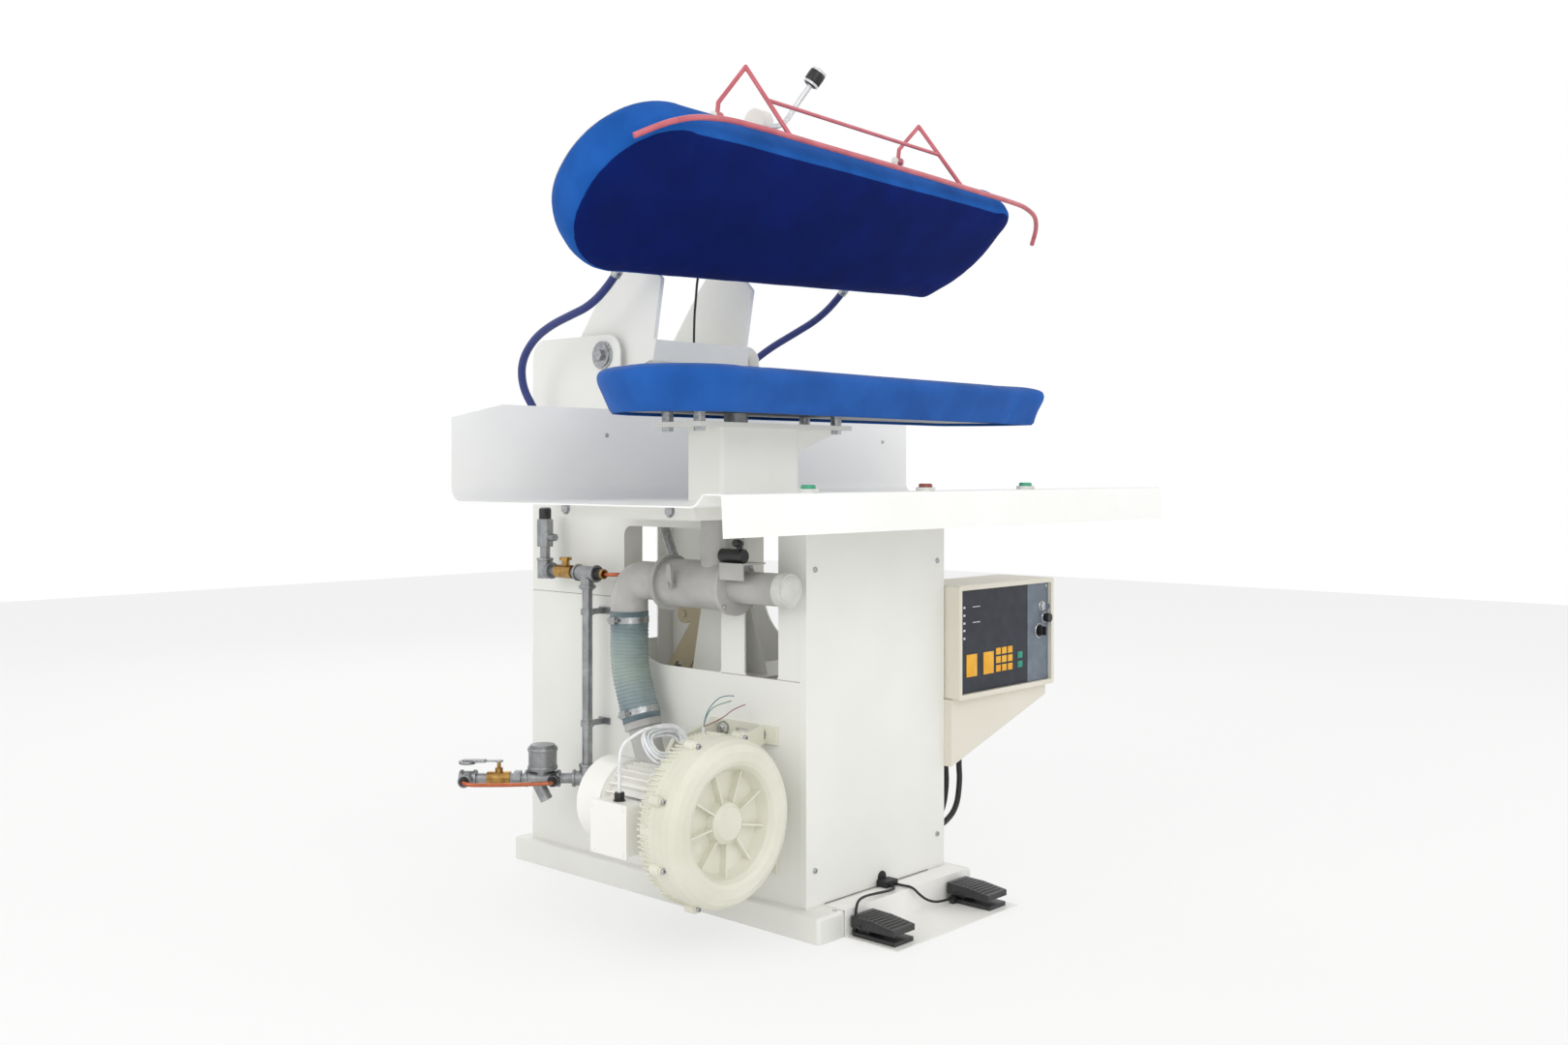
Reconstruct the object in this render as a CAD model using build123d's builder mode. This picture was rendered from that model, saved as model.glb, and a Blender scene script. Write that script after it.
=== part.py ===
from build123d import *
import math
import os

os.makedirs("parts", exist_ok=True)

# Utility steam press. Millimetres, +Z up, +X to the operator's right, operator stands at -Y.
# The origin is on the floor at the centre of the base.

# Base and frame
base_width = 470
base_depth = 890
base_height = 48
base_wall = 4
base_round = 8
base_rib = 30
frame_half = 209
frame_front = -392
frame_rear = 412
frame_top = 762
frame_plate = 4
flange_depth = 46
ear_front = 124
ear_top = 1135
ear_round = 40
window_floor = 462
window_ceiling = 738
window_rear = 110
window_gusset = 125
post_front = -234
post_rear = -172
front_post = -322
cover_sheet = 1.5
cover_lip = 16
fit_gap = 0.3
screw_head_r = 5
screw_head_h = 3

# Table
table_left = -630
table_right = 735
table_front = -598
table_top_z = 795
table_sheet = 2.5
table_rear = 113
upstand_top = 977
apron_bottom = 747
bead_top = 815
cove_round = 28
beam_size = 28
beam_wall = 3

# Press geometry: pivot, head angle, buck and head
pivot_y = 176
pivot_z = 1092
open_angle = 45
shaft_r = 15
shaft_clear = 0.06
hub_r = 27
washer_r = 24.5
buck_top = 1036
buck_depth = 76
outline_left = -530
outline_front_left = -580
outline_front_right = -552
outline_rear_left = -239
outline_rear_right = -290
head_tip = 683
buck_tip = 648
tip_cut = 97
tip_side = 163
rounded_left = 160
rounded_tip = 200
face_gap = 2
pad_wall = 14
head_height = 98

# Buck column under the buck
column_left = -295
column_right = -80
column_front = -260
column_rear = -165
column_top = 932
flange_left = -365
flange_right = 75
flange_front = -268
flange_rear = -147
flange_thick = 9
column_wall = 5

# Vacuum line
duct_x = -262
duct_z = 635
duct_r = 37.5
duct_wall = 3
hose_r = 38
hose_inner_r = 32
hose_rib = 2.2
hose_ribs = 22
hose_top = 572
hose_bottom = 366

# Ring blower
blower_x = -400
blower_z = 238
blower_face = -398
ring_r = 108
ring_tube_r = 40
motor_r = 74
motor_rear = -78
impeller_r = 118

# Toggle linkage
crank_y = -60
crank_z = 600
link_dy = 103
link_dz = -46
link_x = -80
plate_gap = 16
lever_plate = 8
pin_r = 8
pin_clear = 0.06
open_clear = 0.6
rod_angle = 60
stroke_pin_y = 70
stroke_pin_z = 430

# Control box
box_left = 213.5
box_right = 566
box_front = -430
box_rear = -288
box_bottom = 385
box_top = 617
box_sheet = 2
bezel = 10
panel_recess = 9

# Pedals
pedal_width = 62
pedal_length = 98
pedal_height = 40
pedal_centers = ((-128, -505.5), (166, -505.5))
plate_left = -166
plate_right = 212
plate_front = -570
plate_sheet = 2

cos_open = math.cos(math.radians(open_angle))
sin_open = math.sin(math.radians(open_angle))


def head_plane(height):
    """Plane of the raised head, parallel to its face, seen as if the press were closed."""
    base = Plane(origin=(0, pivot_y, pivot_z), x_dir=(1, 0, 0), z_dir=(0, sin_open, cos_open))
    return base.offset(height)


def head_side(x):
    """Plane across the raised head at one X, with closed Y and Z from the pivot as its axes."""
    return Plane(origin=(x, pivot_y, pivot_z), x_dir=(0, cos_open, -sin_open), z_dir=(1, 0, 0))


def head_point(x, y, z):
    """Where a point given from the pivot in the closed press lies with the head open."""
    return (x, pivot_y + y * cos_open + z * sin_open, pivot_z - y * sin_open + z * cos_open)


def grown_corners(points, grow):
    """Corners of a polygon whose sides have all moved outward by the same amount."""
    corners = []
    for before, corner, after in zip(points[-1:] + points[:-1], points, points[1:] + points[:1]):
        incoming = (Vector(*corner) - Vector(*before)).normalized()
        outgoing = (Vector(*after) - Vector(*corner)).normalized()
        half_turn = math.radians(incoming.get_angle(outgoing)) / 2
        moved = Vector(*corner) + (incoming - outgoing).normalized() * (grow / math.cos(half_turn))
        corners.append((moved.X, moved.Y))
    return corners


def rounded_polygon(points, radii):
    """Closed face with a tangent arc at each corner of a convex polygon."""
    arcs = []
    for before, corner, after, radius in zip(points[-1:] + points[:-1], points, points[1:] + points[:1], radii):
        back = (Vector(*before) - Vector(*corner)).normalized()
        ahead = (Vector(*after) - Vector(*corner)).normalized()
        half_turn = (math.pi - math.radians(back.get_angle(ahead))) / 2
        inward = (back + ahead).normalized()
        reach = radius * math.tan(half_turn)
        middle = Vector(*corner) + inward * (radius / math.cos(half_turn) - radius)
        arcs.append((Vector(*corner) + back * reach, middle, Vector(*corner) + ahead * reach))
    with BuildSketch(Plane.XY, mode=Mode.PRIVATE) as outline:
        with BuildLine():
            for arc, following in zip(arcs, arcs[1:] + arcs[:1]):
                ThreePointArc(*arc)
                Line(arc[2], following[0])
        make_face()
    return outline.sketch


def press_outline(tip, grow):
    """Closed outline shared by buck and head: round left end, slanted rear edge, cut right tip."""
    points = [
        (outline_left, outline_front_left),
        (tip, outline_front_right),
        (tip, outline_front_right + tip_side),
        (tip - tip_cut, outline_rear_right),
        (outline_left, outline_rear_left),
    ]
    radii = [rounded_left + grow, max(36 + grow, 6), rounded_tip + grow, max(24 + grow, 6), rounded_left + grow]
    return rounded_polygon(grown_corners(points, grow), radii)


def corner_radii(points):
    """Largest easy arc at each corner of a cord's route."""
    radii = []
    for before, corner, after in zip(points, points[1:], points[2:]):
        incoming = Vector(*corner) - Vector(*before)
        outgoing = Vector(*after) - Vector(*corner)
        half_turn = math.radians(incoming.get_angle(outgoing)) / 2
        radii.append(0.45 * min(incoming.length, outgoing.length) / math.tan(half_turn))
    return radii


def lay_cord(points, diameter, name):
    """Round cord of straight runs joined by tangent arcs; prints its arcs and checks its volume."""
    radii = corner_radii(points)
    with BuildLine(mode=Mode.PRIVATE) as route:
        FilletPolyline(*points, radius=radii)
    path = route.wire()
    with BuildSketch(Plane(origin=path @ 0, z_dir=path % 0), mode=Mode.PRIVATE) as section:
        Circle(diameter / 2)
    tube = sweep(sections=section.sketch, path=path, mode=Mode.PRIVATE)
    ideal = math.pi * diameter**2 / 4 * path.length
    print(name, "radii", [round(r, 1) for r in radii], "volume ratio", round(tube.volume / ideal, 4))
    add(tube)


def rod_between(start, end, radius):
    """Round rod from one point to another."""
    axis = Vector(*end) - Vector(*start)
    with BuildSketch(Plane(origin=start, z_dir=axis), mode=Mode.PRIVATE) as section:
        Circle(radius)
    add(extrude(section.sketch, amount=axis.length, mode=Mode.PRIVATE))


# Base plinth: folded sheet tray with a cross rib, open below, with four anchor holes in its top
with BuildPart() as base_plinth:
    with BuildSketch():
        RectangleRounded(base_width, base_depth, base_round)
    extrude(amount=base_height)
    fillet(base_plinth.faces().sort_by(Axis.Z)[-1].edges(), base_round - 1)
    with BuildSketch():
        RectangleRounded(base_width - 2 * base_wall, base_depth - 2 * base_wall, base_round - base_wall)
    extrude(amount=base_height - base_wall, mode=Mode.SUBTRACT)
    with Locations((0, 0, base_height / 2 - 1)):
        Box(base_width - 2, base_rib, base_height - 2)
    anchor_x = base_width / 2 - 60
    anchor_y = base_depth / 2 - 14
    with Locations(Plane.XY.offset(base_height)):
        with GridLocations(2 * anchor_x, 2 * anchor_y, 2, 2):
            Hole(5.5)
base_plinth.part.label = "base_plinth"
export_step(base_plinth.part, "parts/base_plinth.step")

# Pedal plate: rests on the plinth, folds down its front and runs out along the floor
with BuildPart() as pedal_plate:
    plinth_front = -base_depth / 2 - fit_gap
    with BuildSketch(Plane.YZ.offset(plate_left)):
        with BuildLine():
            Polyline(
                (frame_front - 10, base_height + fit_gap),
                (plinth_front - plate_sheet, base_height + fit_gap),
                (plinth_front - plate_sheet, 0),
                (plate_front, 0),
                (plate_front, plate_sheet),
                (plinth_front - 2 * plate_sheet, plate_sheet),
                (plinth_front - 2 * plate_sheet, base_height + fit_gap + plate_sheet),
                (frame_front - 10, base_height + fit_gap + plate_sheet),
                close=True,
            )
        make_face()
    extrude(amount=plate_right - plate_left)
pedal_plate.part.label = "pedal_plate"
export_step(pedal_plate.part, "parts/pedal_plate.step")


def side_frame(side):
    """One side frame: plate with two windows, raised ear for the pivot, and folded flanges."""
    outer = side * frame_half
    inward = -side
    with BuildSketch(Plane.YZ.offset(outer), mode=Mode.PRIVATE) as plate:
        with BuildLine():
            Polyline(
                (frame_front, base_height),
                (frame_front, frame_top),
                (ear_front, frame_top),
                (ear_front, ear_top),
                (frame_rear, ear_top),
                (frame_rear, base_height),
                close=True,
            )
        make_face()
        fillet(plate.vertices().group_by(Axis.Y)[-1], ear_round)
        with BuildSketch(mode=Mode.PRIVATE) as window:
            with BuildLine():
                Polyline(
                    (post_rear, window_floor),
                    (window_rear, window_floor),
                    (window_rear, window_ceiling),
                    (post_rear, window_ceiling),
                    close=True,
                )
            make_face()
            fillet(window.vertices().sort_by_distance((window_rear, window_floor))[0], window_gusset)
            fillet(window.vertices().sort_by_distance((window_rear, window_ceiling))[0], 20)
            fillet(window.vertices().sort_by_distance((post_rear, window_floor))[0], 8)
            fillet(window.vertices().sort_by_distance((post_rear, window_ceiling))[0], 8)
        add(window.sketch, mode=Mode.SUBTRACT)
        with Locations(((post_front + front_post) / 2, (window_floor + window_ceiling) / 2)):
            RectangleRounded(post_front - front_post, window_ceiling - window_floor, 8, mode=Mode.SUBTRACT)
        with Locations((pivot_y, pivot_z)):
            Circle(shaft_r + 5, mode=Mode.SUBTRACT)
    add(extrude(plate.sketch, amount=inward * frame_plate, mode=Mode.PRIVATE))
    middle = outer + inward * (frame_plate + flange_depth) / 2
    flange_width = flange_depth + frame_plate
    flange_top = ear_top - 180
    for edge, low, high, step in (
        (frame_front, base_height, frame_top, 1),
        (frame_rear, base_height, ear_top - ear_round, -1),
        (ear_front, window_ceiling + 12, flange_top, 1),
    ):
        center = (middle, edge + step * frame_plate / 2, (low + high) / 2)
        with Locations(center):
            Box(flange_width, frame_plate, high - low)
    with Locations((middle, (frame_front + ear_front) / 2, frame_top - frame_plate / 2)):
        Box(flange_width, ear_front - frame_front, frame_plate)
    with Locations((middle, (frame_front + frame_rear) / 2, base_height + frame_plate / 2)):
        Box(flange_width, frame_rear - frame_front, frame_plate)
    # column flange beside the big window
    with Locations((middle, window_rear + frame_plate / 2, (window_floor + window_gusset + window_ceiling) / 2)):
        Box(flange_width, frame_plate, window_ceiling - window_floor - window_gusset)


with BuildPart() as left_side_frame:
    side_frame(-1)
left_side_frame.part.label = "left_side_frame"
export_step(left_side_frame.part, "parts/left_side_frame.step")

with BuildPart() as right_side_frame:
    side_frame(1)
right_side_frame.part.label = "right_side_frame"
export_step(right_side_frame.part, "parts/right_side_frame.step")

# Front cover: sheet with folded side lips, four screws and an arch for the pedal cords
cover_bottom = base_height + 3
cover_top = frame_top - 4
boot_x = 8
boot_r = 12
boot_height = 26
arch_z = cover_bottom + boot_height - boot_r
with BuildPart() as front_cover:
    with BuildSketch(Plane.XZ.offset(-frame_front)):
        with Locations((0, (cover_bottom + cover_top) / 2)):
            Rectangle(2 * frame_half, cover_top - cover_bottom)
    extrude(amount=cover_sheet)
    lip_x = frame_half + cover_sheet / 2 + fit_gap
    with Locations(
        (lip_x, frame_front - cover_sheet + cover_lip / 2, (cover_bottom + cover_top) / 2),
        (-lip_x, frame_front - cover_sheet + cover_lip / 2, (cover_bottom + cover_top) / 2),
    ):
        Box(cover_sheet, cover_lip, cover_top - cover_bottom)
    with Locations((0, frame_front - cover_sheet / 2, (cover_bottom + cover_top) / 2)):
        Box(2 * lip_x + cover_sheet, cover_sheet, cover_top - cover_bottom)
    with BuildSketch(Plane.XZ.offset(-frame_front - 2)):
        with Locations((boot_x, arch_z)):
            Circle(boot_r)
        with Locations((boot_x, arch_z - 50)):
            Rectangle(2 * boot_r, 100)
    extrude(amount=6, mode=Mode.SUBTRACT)
front_cover.part.label = "front_cover"
export_step(front_cover.part, "parts/front_cover.step")

# Rear covers: a lower sheet below the open middle and an upper one between the ears
rear_low_top = 455
rear_up_bottom = 830
rear_up_top = 1040
with BuildPart() as rear_covers:
    for low, high in ((cover_bottom, rear_low_top), (rear_up_bottom, rear_up_top)):
        with Locations((0, frame_rear + cover_sheet / 2, (low + high) / 2)):
            Box(2 * frame_half, cover_sheet, high - low)
rear_covers.part.label = "rear_covers"
export_step(rear_covers.part, "parts/rear_covers.step")

# Table: one folded sheet with apron, rolled bead, flat top, cove and upstand
underside = table_top_z - table_sheet
button_y = -575
button_xs = (-410, -92, 232)
button_r = 17.5
button_hole_r = 11
neck_r = 30
neck_y = (column_front + column_rear) / 2
upstand_cut = 27
upstand_cut_length = 118
with BuildPart() as table_top:
    middle = table_sheet / 2
    with BuildSketch(Plane.YZ.offset(table_left)):
        with BuildLine():
            FilletPolyline(
                (table_front, apron_bottom),
                (table_front + 4, bead_top - middle),
                (table_front + 44, bead_top - middle),
                (table_front + 64, table_top_z - middle),
                (table_rear - middle, table_top_z - middle),
                (table_rear - middle, upstand_top),
                radius=[5, 12, 24, cove_round],
            )
        trace(line_width=table_sheet)
    extrude(amount=table_right - table_left)
    with BuildSketch(Plane.XZ.offset(-table_rear - 10)):
        with BuildLine():
            Polyline(
                (table_left - 1, upstand_top - upstand_cut),
                (table_left + upstand_cut_length, upstand_top + 1),
                (table_left - 1, upstand_top + 1),
                close=True,
            )
        make_face()
    extrude(amount=40, mode=Mode.SUBTRACT)
    with BuildSketch(Plane.XY.offset(bead_top + 5)):
        with Locations((duct_x, neck_y)):
            Circle(neck_r - 5)
        with Locations(*((x, button_y) for x in button_xs)):
            Circle(button_hole_r)
    extrude(amount=-35, mode=Mode.SUBTRACT)
table_top.part.label = "table_top"
export_step(table_top.part, "parts/table_top.step")

# Table beams: ring of angle bars between the side frames and the table
beam_height = underside - frame_top
ring_left = -405
ring_right = 430
ring_front = -300
ring_rear = 88
with BuildPart() as table_beams:
    for y, toward in ((ring_front, 1), (ring_rear, -1)):
        with Locations(((ring_left + ring_right) / 2, y + toward * beam_wall / 2, frame_top + beam_height / 2)):
            Box(ring_right - ring_left, beam_wall, beam_height)
        with Locations(((ring_left + ring_right) / 2, y + toward * beam_size / 2, underside - beam_wall / 2)):
            Box(ring_right - ring_left, beam_size, beam_wall)
    for x, toward in ((ring_left, 1), (ring_right, -1)):
        with Locations((x + toward * beam_wall / 2, (ring_front + ring_rear) / 2, frame_top + beam_height / 2)):
            Box(beam_wall, ring_rear - ring_front, beam_height)
        with Locations((x + toward * beam_size / 2, (ring_front + ring_rear) / 2, underside - beam_wall / 2)):
            Box(beam_size, ring_rear - ring_front, beam_wall)
table_beams.part.label = "table_beams"
export_step(table_beams.part, "parts/table_beams.step")

# Pivot shaft: fixed in the ears, with a washer and bolt at each end
bearing_flange = 5
shaft_half = frame_half + bearing_flange
with BuildPart() as pivot_shaft:
    with BuildSketch(Plane.YZ.offset(-shaft_half)):
        with Locations((pivot_y, pivot_z)):
            Circle(shaft_r)
    extrude(amount=2 * shaft_half)
    for side in (-1, 1):
        with BuildSketch(Plane.YZ.offset(side * shaft_half)):
            with Locations((pivot_y, pivot_z)):
                Circle(washer_r)
        extrude(amount=side * 3)
        with BuildSketch(Plane.YZ.offset(side * (shaft_half + 3))):
            with Locations((pivot_y, pivot_z)):
                RegularPolygon(11, 6, major_radius=False)
        extrude(amount=side * 9)
pivot_shaft.part.label = "pivot_shaft"
export_step(pivot_shaft.part, "parts/pivot_shaft.step")

# Pivot bearings: flanged blocks that seat the shaft in both ears
with BuildPart() as pivot_bearings:
    for side in (-1, 1):
        with BuildSketch(Plane.YZ.offset(side * frame_half)):
            with Locations((pivot_y, pivot_z)):
                Circle(washer_r + 5)
                Circle(shaft_r, mode=Mode.SUBTRACT)
        extrude(amount=side * bearing_flange)
        with BuildSketch(Plane.YZ.offset(side * frame_half)):
            with Locations((pivot_y, pivot_z)):
                Circle(shaft_r + 5)
                Circle(shaft_r, mode=Mode.SUBTRACT)
        extrude(amount=-side * (frame_plate + 2))
pivot_bearings.part.label = "pivot_bearings"
export_step(pivot_bearings.part, "parts/pivot_bearings.step")

# Buck column: hollow post on the table with a wide top flange and a gusset on its right
column_mid_x = (column_left + column_right) / 2
column_width = column_right - column_left
column_length = column_rear - column_front
flange_mid = ((flange_left + flange_right) / 2, (flange_front + flange_rear) / 2)
bolt_left = flange_left + 22
bolt_right = flange_right - 35
bolt_front = flange_front + 18
bolt_rear = flange_rear - 18
bolt_spots = [(x, y) for x in (bolt_left, bolt_right) for y in (bolt_front, bolt_rear)]
spigot_x = -210
spigot_r = 23
with BuildPart() as buck_column:
    with BuildSketch(Plane.XY.offset(table_top_z)):
        with Locations((column_mid_x, neck_y)):
            RectangleRounded(column_width, column_length, 9)
            RectangleRounded(column_width - 2 * column_wall, column_length - 2 * column_wall, 4, mode=Mode.SUBTRACT)
    extrude(amount=column_top - table_top_z)
    with BuildSketch(Plane.XY.offset(column_top)):
        with Locations(flange_mid):
            RectangleRounded(flange_right - flange_left, flange_rear - flange_front, 10)
        with Locations(*bolt_spots):
            Circle(5.5, mode=Mode.SUBTRACT)
        with Locations((spigot_x, neck_y)):
            Circle(spigot_r - 4, mode=Mode.SUBTRACT)
    extrude(amount=flange_thick)
    with BuildSketch(Plane.XZ.offset(-column_front - 8)):
        with BuildLine():
            Polyline(
                (column_right - 1, column_top),
                (flange_right - 52, column_top),
                (flange_right - 52, column_top - 10),
                (column_right - 1, column_top - 46),
                close=True,
            )
        make_face()
    extrude(amount=-6)
buck_column.part.label = "buck_column"
export_step(buck_column.part, "parts/buck_column.step")

# Fasteners: cross-head screws of the covers, bolts and spacers between column flange and buck
buck_under = buck_top - buck_depth
spacer_height = buck_under - column_top - flange_thick
screw_x = frame_half - 22
front_screw_heights = (116, 669)
rear_screw_heights = (cover_bottom + 30, rear_low_top - 30, rear_up_bottom + 30, rear_up_top - 30)
with BuildPart() as fasteners:
    for side in (-1, 1):
        for height in front_screw_heights:
            with BuildSketch(Plane.XZ.offset(-frame_front + cover_sheet)):
                with Locations((side * screw_x, height)):
                    Circle(screw_head_r)
            extrude(amount=screw_head_h)
        for height in rear_screw_heights:
            with BuildSketch(Plane.XZ.offset(-frame_rear - cover_sheet)):
                with Locations((side * screw_x, height)):
                    Circle(screw_head_r)
            extrude(amount=-screw_head_h)
    fillet(fasteners.edges().filter_by(GeomType.CIRCLE).group_by(Axis.Y)[0], 1)
    fillet(fasteners.edges().filter_by(GeomType.CIRCLE).group_by(Axis.Y)[-1], 1)
    for side in (-1, 1):
        for height in front_screw_heights:
            with Locations((side * screw_x, frame_front - cover_sheet - screw_head_h, height)):
                Box(1.2, 2.4, 6, mode=Mode.SUBTRACT)
                Box(6, 2.4, 1.2, mode=Mode.SUBTRACT)
    for x, y in bolt_spots:
        with BuildSketch(Plane.XY.offset(column_top)):
            with Locations((x, y)):
                RegularPolygon(9.5, 6, major_radius=False)
        extrude(amount=-8)
        with BuildSketch(Plane.XY.offset(column_top)):
            with Locations((x, y)):
                Circle(5.5 - 0.2)
        extrude(amount=flange_thick)
        with BuildSketch(Plane.XY.offset(column_top + flange_thick)):
            with Locations((x, y)):
                Circle(11)
        extrude(amount=spacer_height)
fasteners.part.label = "fasteners"
export_step(fasteners.part, "parts/fasteners.step")


def stack_outlines(tip, levels, plane_at):
    """Ruled loft through press outlines; each level is a height and how far it grows outward."""
    sections = [plane_at(height) * press_outline(tip, grow) for height, grow in levels]
    return loft(sections, ruled=True, mode=Mode.PRIVATE)


def buck_plane(height):
    """Level plane with its Y counted from the pivot."""
    return Plane(origin=(0, pivot_y, height))


# Buck casting: steam-heated plate, narrower below, with the vacuum spigot under it
casting_inset = pad_wall
buck_casting_levels = [
    (buck_under, -38),
    (buck_top - pad_wall - 8, -casting_inset - 2),
    (buck_top - pad_wall, -casting_inset - 8),
]
with BuildPart() as buck_casting:
    add(stack_outlines(buck_tip, buck_casting_levels, buck_plane))
    with BuildSketch(Plane.XY.offset(buck_under)):
        with Locations((spigot_x, neck_y)):
            Circle(spigot_r)
            Circle(spigot_r - 4, mode=Mode.SUBTRACT)
    extrude(amount=-spacer_height)
buck_casting.part.label = "buck_casting"
export_step(buck_casting.part, "parts/buck_casting.step")

# Buck pad: crowned top, rounded rim and drawn-in skirt over the casting
buck_pad_levels = [
    (buck_under + 1, -26),
    (buck_under + 6, -24),
    (buck_top - 26, -2),
    (buck_top - 16, 0),
    (buck_top - 8, -3),
    (buck_top - 3, -10),
    (buck_top - 1, -26),
    (buck_top, -60),
]
with BuildPart() as buck_pad:
    add(stack_outlines(buck_tip, buck_pad_levels, buck_plane))
    add(stack_outlines(buck_tip, buck_casting_levels, buck_plane), mode=Mode.SUBTRACT)
buck_pad.part.label = "buck_pad"
export_step(buck_pad.part, "parts/buck_pad.step")


def head_outline_plane(height):
    """Plane of the raised head at a height counted from the pivot with the press closed."""
    return head_plane(height)


face_z = buck_top + face_gap - pivot_z
back_z = face_z + head_height
hose_fit_left = (-270, -239, face_z + 84)
hose_fit_right = (406, -270, face_z + 84)
fit_r = 9

# Head casting: steam chest with a closed sheet back, hose stubs and a drain fitting
chest_low = face_z + pad_wall - 2
chest_top = chest_low + 32
shell_top = back_z - 4
with BuildPart() as head_casting:
    add(stack_outlines(head_tip, [(chest_low, -6), (shell_top, -2)], head_outline_plane))
    add(
        stack_outlines(head_tip, [(chest_top, -12), (shell_top - 4, -9)], head_outline_plane),
        mode=Mode.SUBTRACT,
    )
    for x, y, z in (hose_fit_left, hose_fit_right):
        rod_between(head_point(x, y - 22, z), head_point(x, y + 30, z), fit_r)
head_casting.part.label = "head_casting"
export_step(head_casting.part, "parts/head_casting.step")

# Head pad: soft cover over the face and sides of the head, open at the back
head_pad_levels = [
    (face_z - 1.5, -60),
    (face_z - 1, -26),
    (face_z + 0.5, -8),
    (face_z + 4, 3),
    (face_z + 12, 10),
    (face_z + 32, 14),
    (face_z + 70, 12),
    (back_z - 8, 6),
    (back_z, 1),
]
with BuildPart() as head_pad:
    add(stack_outlines(head_tip, head_pad_levels, head_outline_plane))
    add(
        stack_outlines(head_tip, [(chest_low, -6), (shell_top, -2), (back_z + 1, -2)], head_outline_plane),
        mode=Mode.SUBTRACT,
    )
    for x, y, z in (hose_fit_left, hose_fit_right):
        with BuildSketch(Plane(origin=head_point(x, y - 40, z), z_dir=(0, cos_open, -sin_open))):
            Circle(fit_r + fit_gap)
        extrude(amount=80, mode=Mode.SUBTRACT)
head_pad.part.label = "head_pad"
export_step(head_pad.part, "parts/head_pad.step")

# Head yoke: two plate arms, hub tube on the shaft, cross web, feet on the head and a tail with its pin
arm_left = -190
arm_right = 75
arm_plate = 10
tail_y = link_dy * cos_open - link_dz * sin_open
tail_z = link_dy * sin_open + link_dz * cos_open
hub_half = frame_half - frame_plate - 5
arm_profile = [
    (-115, -75),
    (-216, -5),
    (-216, shell_top + 6),
    (-480, shell_top + 6),
    (-480, back_z + 34),
    (-300, back_z + 76),
    (-116, back_z + 75),
    (32, back_z + 56),
    (48, 0),
    (0, -48),
    (-40, -80),
    (-78, -99),
]
with BuildPart() as head_yoke:
    for x in (arm_left, arm_right):
        with BuildSketch(head_side(x)):
            with BuildLine():
                Polyline(*arm_profile, close=True)
            make_face()
            Circle(48)
        extrude(amount=arm_plate)
        for y in (-450, -300):
            with BuildSketch(Plane(origin=head_point(x + arm_plate / 2, y, shell_top), x_dir=(1, 0, 0),
                                   z_dir=(0, sin_open, cos_open))):
                Rectangle(70, 60)
            extrude(amount=8)
    with BuildSketch(head_side(arm_left)):
        with BuildLine():
            Polyline((-113, -76), (-78, -97), (-82, -105), (-119, -82), close=True)
        make_face()
    extrude(amount=arm_right + arm_plate - arm_left)
    with BuildSketch(head_side(-hub_half)):
        Circle(hub_r)
    extrude(amount=2 * hub_half)
    for side in (-1, 1):
        center = link_x + side * (plate_gap + lever_plate / 2)
        with BuildSketch(head_side(center - lever_plate / 2)):
            Circle(34)
            with Locations((tail_y, tail_z)):
                Circle(20)
            make_hull()
        extrude(amount=lever_plate)
    with BuildSketch(head_side(link_x - 30)):
        with Locations((tail_y, tail_z)):
            Circle(pin_r)
    extrude(amount=60)
    with BuildSketch(head_side(-hub_half - 1)):
        Circle(shaft_r + shaft_clear)
    extrude(amount=2 * hub_half + 2, mode=Mode.SUBTRACT)
head_yoke.part.label = "head_yoke"
export_step(head_yoke.part, "parts/head_yoke.step")

# Toggle bracket: shelf between the side frames with two cheeks that hold the crank's pin
shelf_z = 430
shelf_plate = 8
crank_pin_r = 10
cheek_plate = 10
cheek_in = 32
with BuildPart() as toggle_bracket:
    with Locations((0, -80, shelf_z + shelf_plate / 2)):
        Box(2 * (frame_half - frame_plate - fit_gap), 160, shelf_plate)
    for side in (-1, 1):
        with Locations((side * (frame_half - frame_plate - fit_gap - 3), -80, shelf_z - 17)):
            Box(6, 160, 34)
    for side in (-1, 1):
        near = link_x + side * cheek_in
        with BuildSketch(Plane.YZ.offset(near)):
            with BuildLine():
                Polyline((-135, shelf_z + 4), (0, shelf_z + 4), (crank_y + 27, crank_z), (crank_y - 27, crank_z),
                         close=True)
            make_face()
            with Locations((crank_y, crank_z)):
                Circle(27)
        extrude(amount=side * cheek_plate)
    with BuildSketch(Plane.YZ.offset(link_x - cheek_in - cheek_plate - 3)):
        with Locations((crank_y, crank_z)):
            Circle(crank_pin_r)
    extrude(amount=2 * (cheek_in + cheek_plate + 3))
toggle_bracket.part.label = "toggle_bracket"
export_step(toggle_bracket.part, "parts/toggle_bracket.step")

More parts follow.
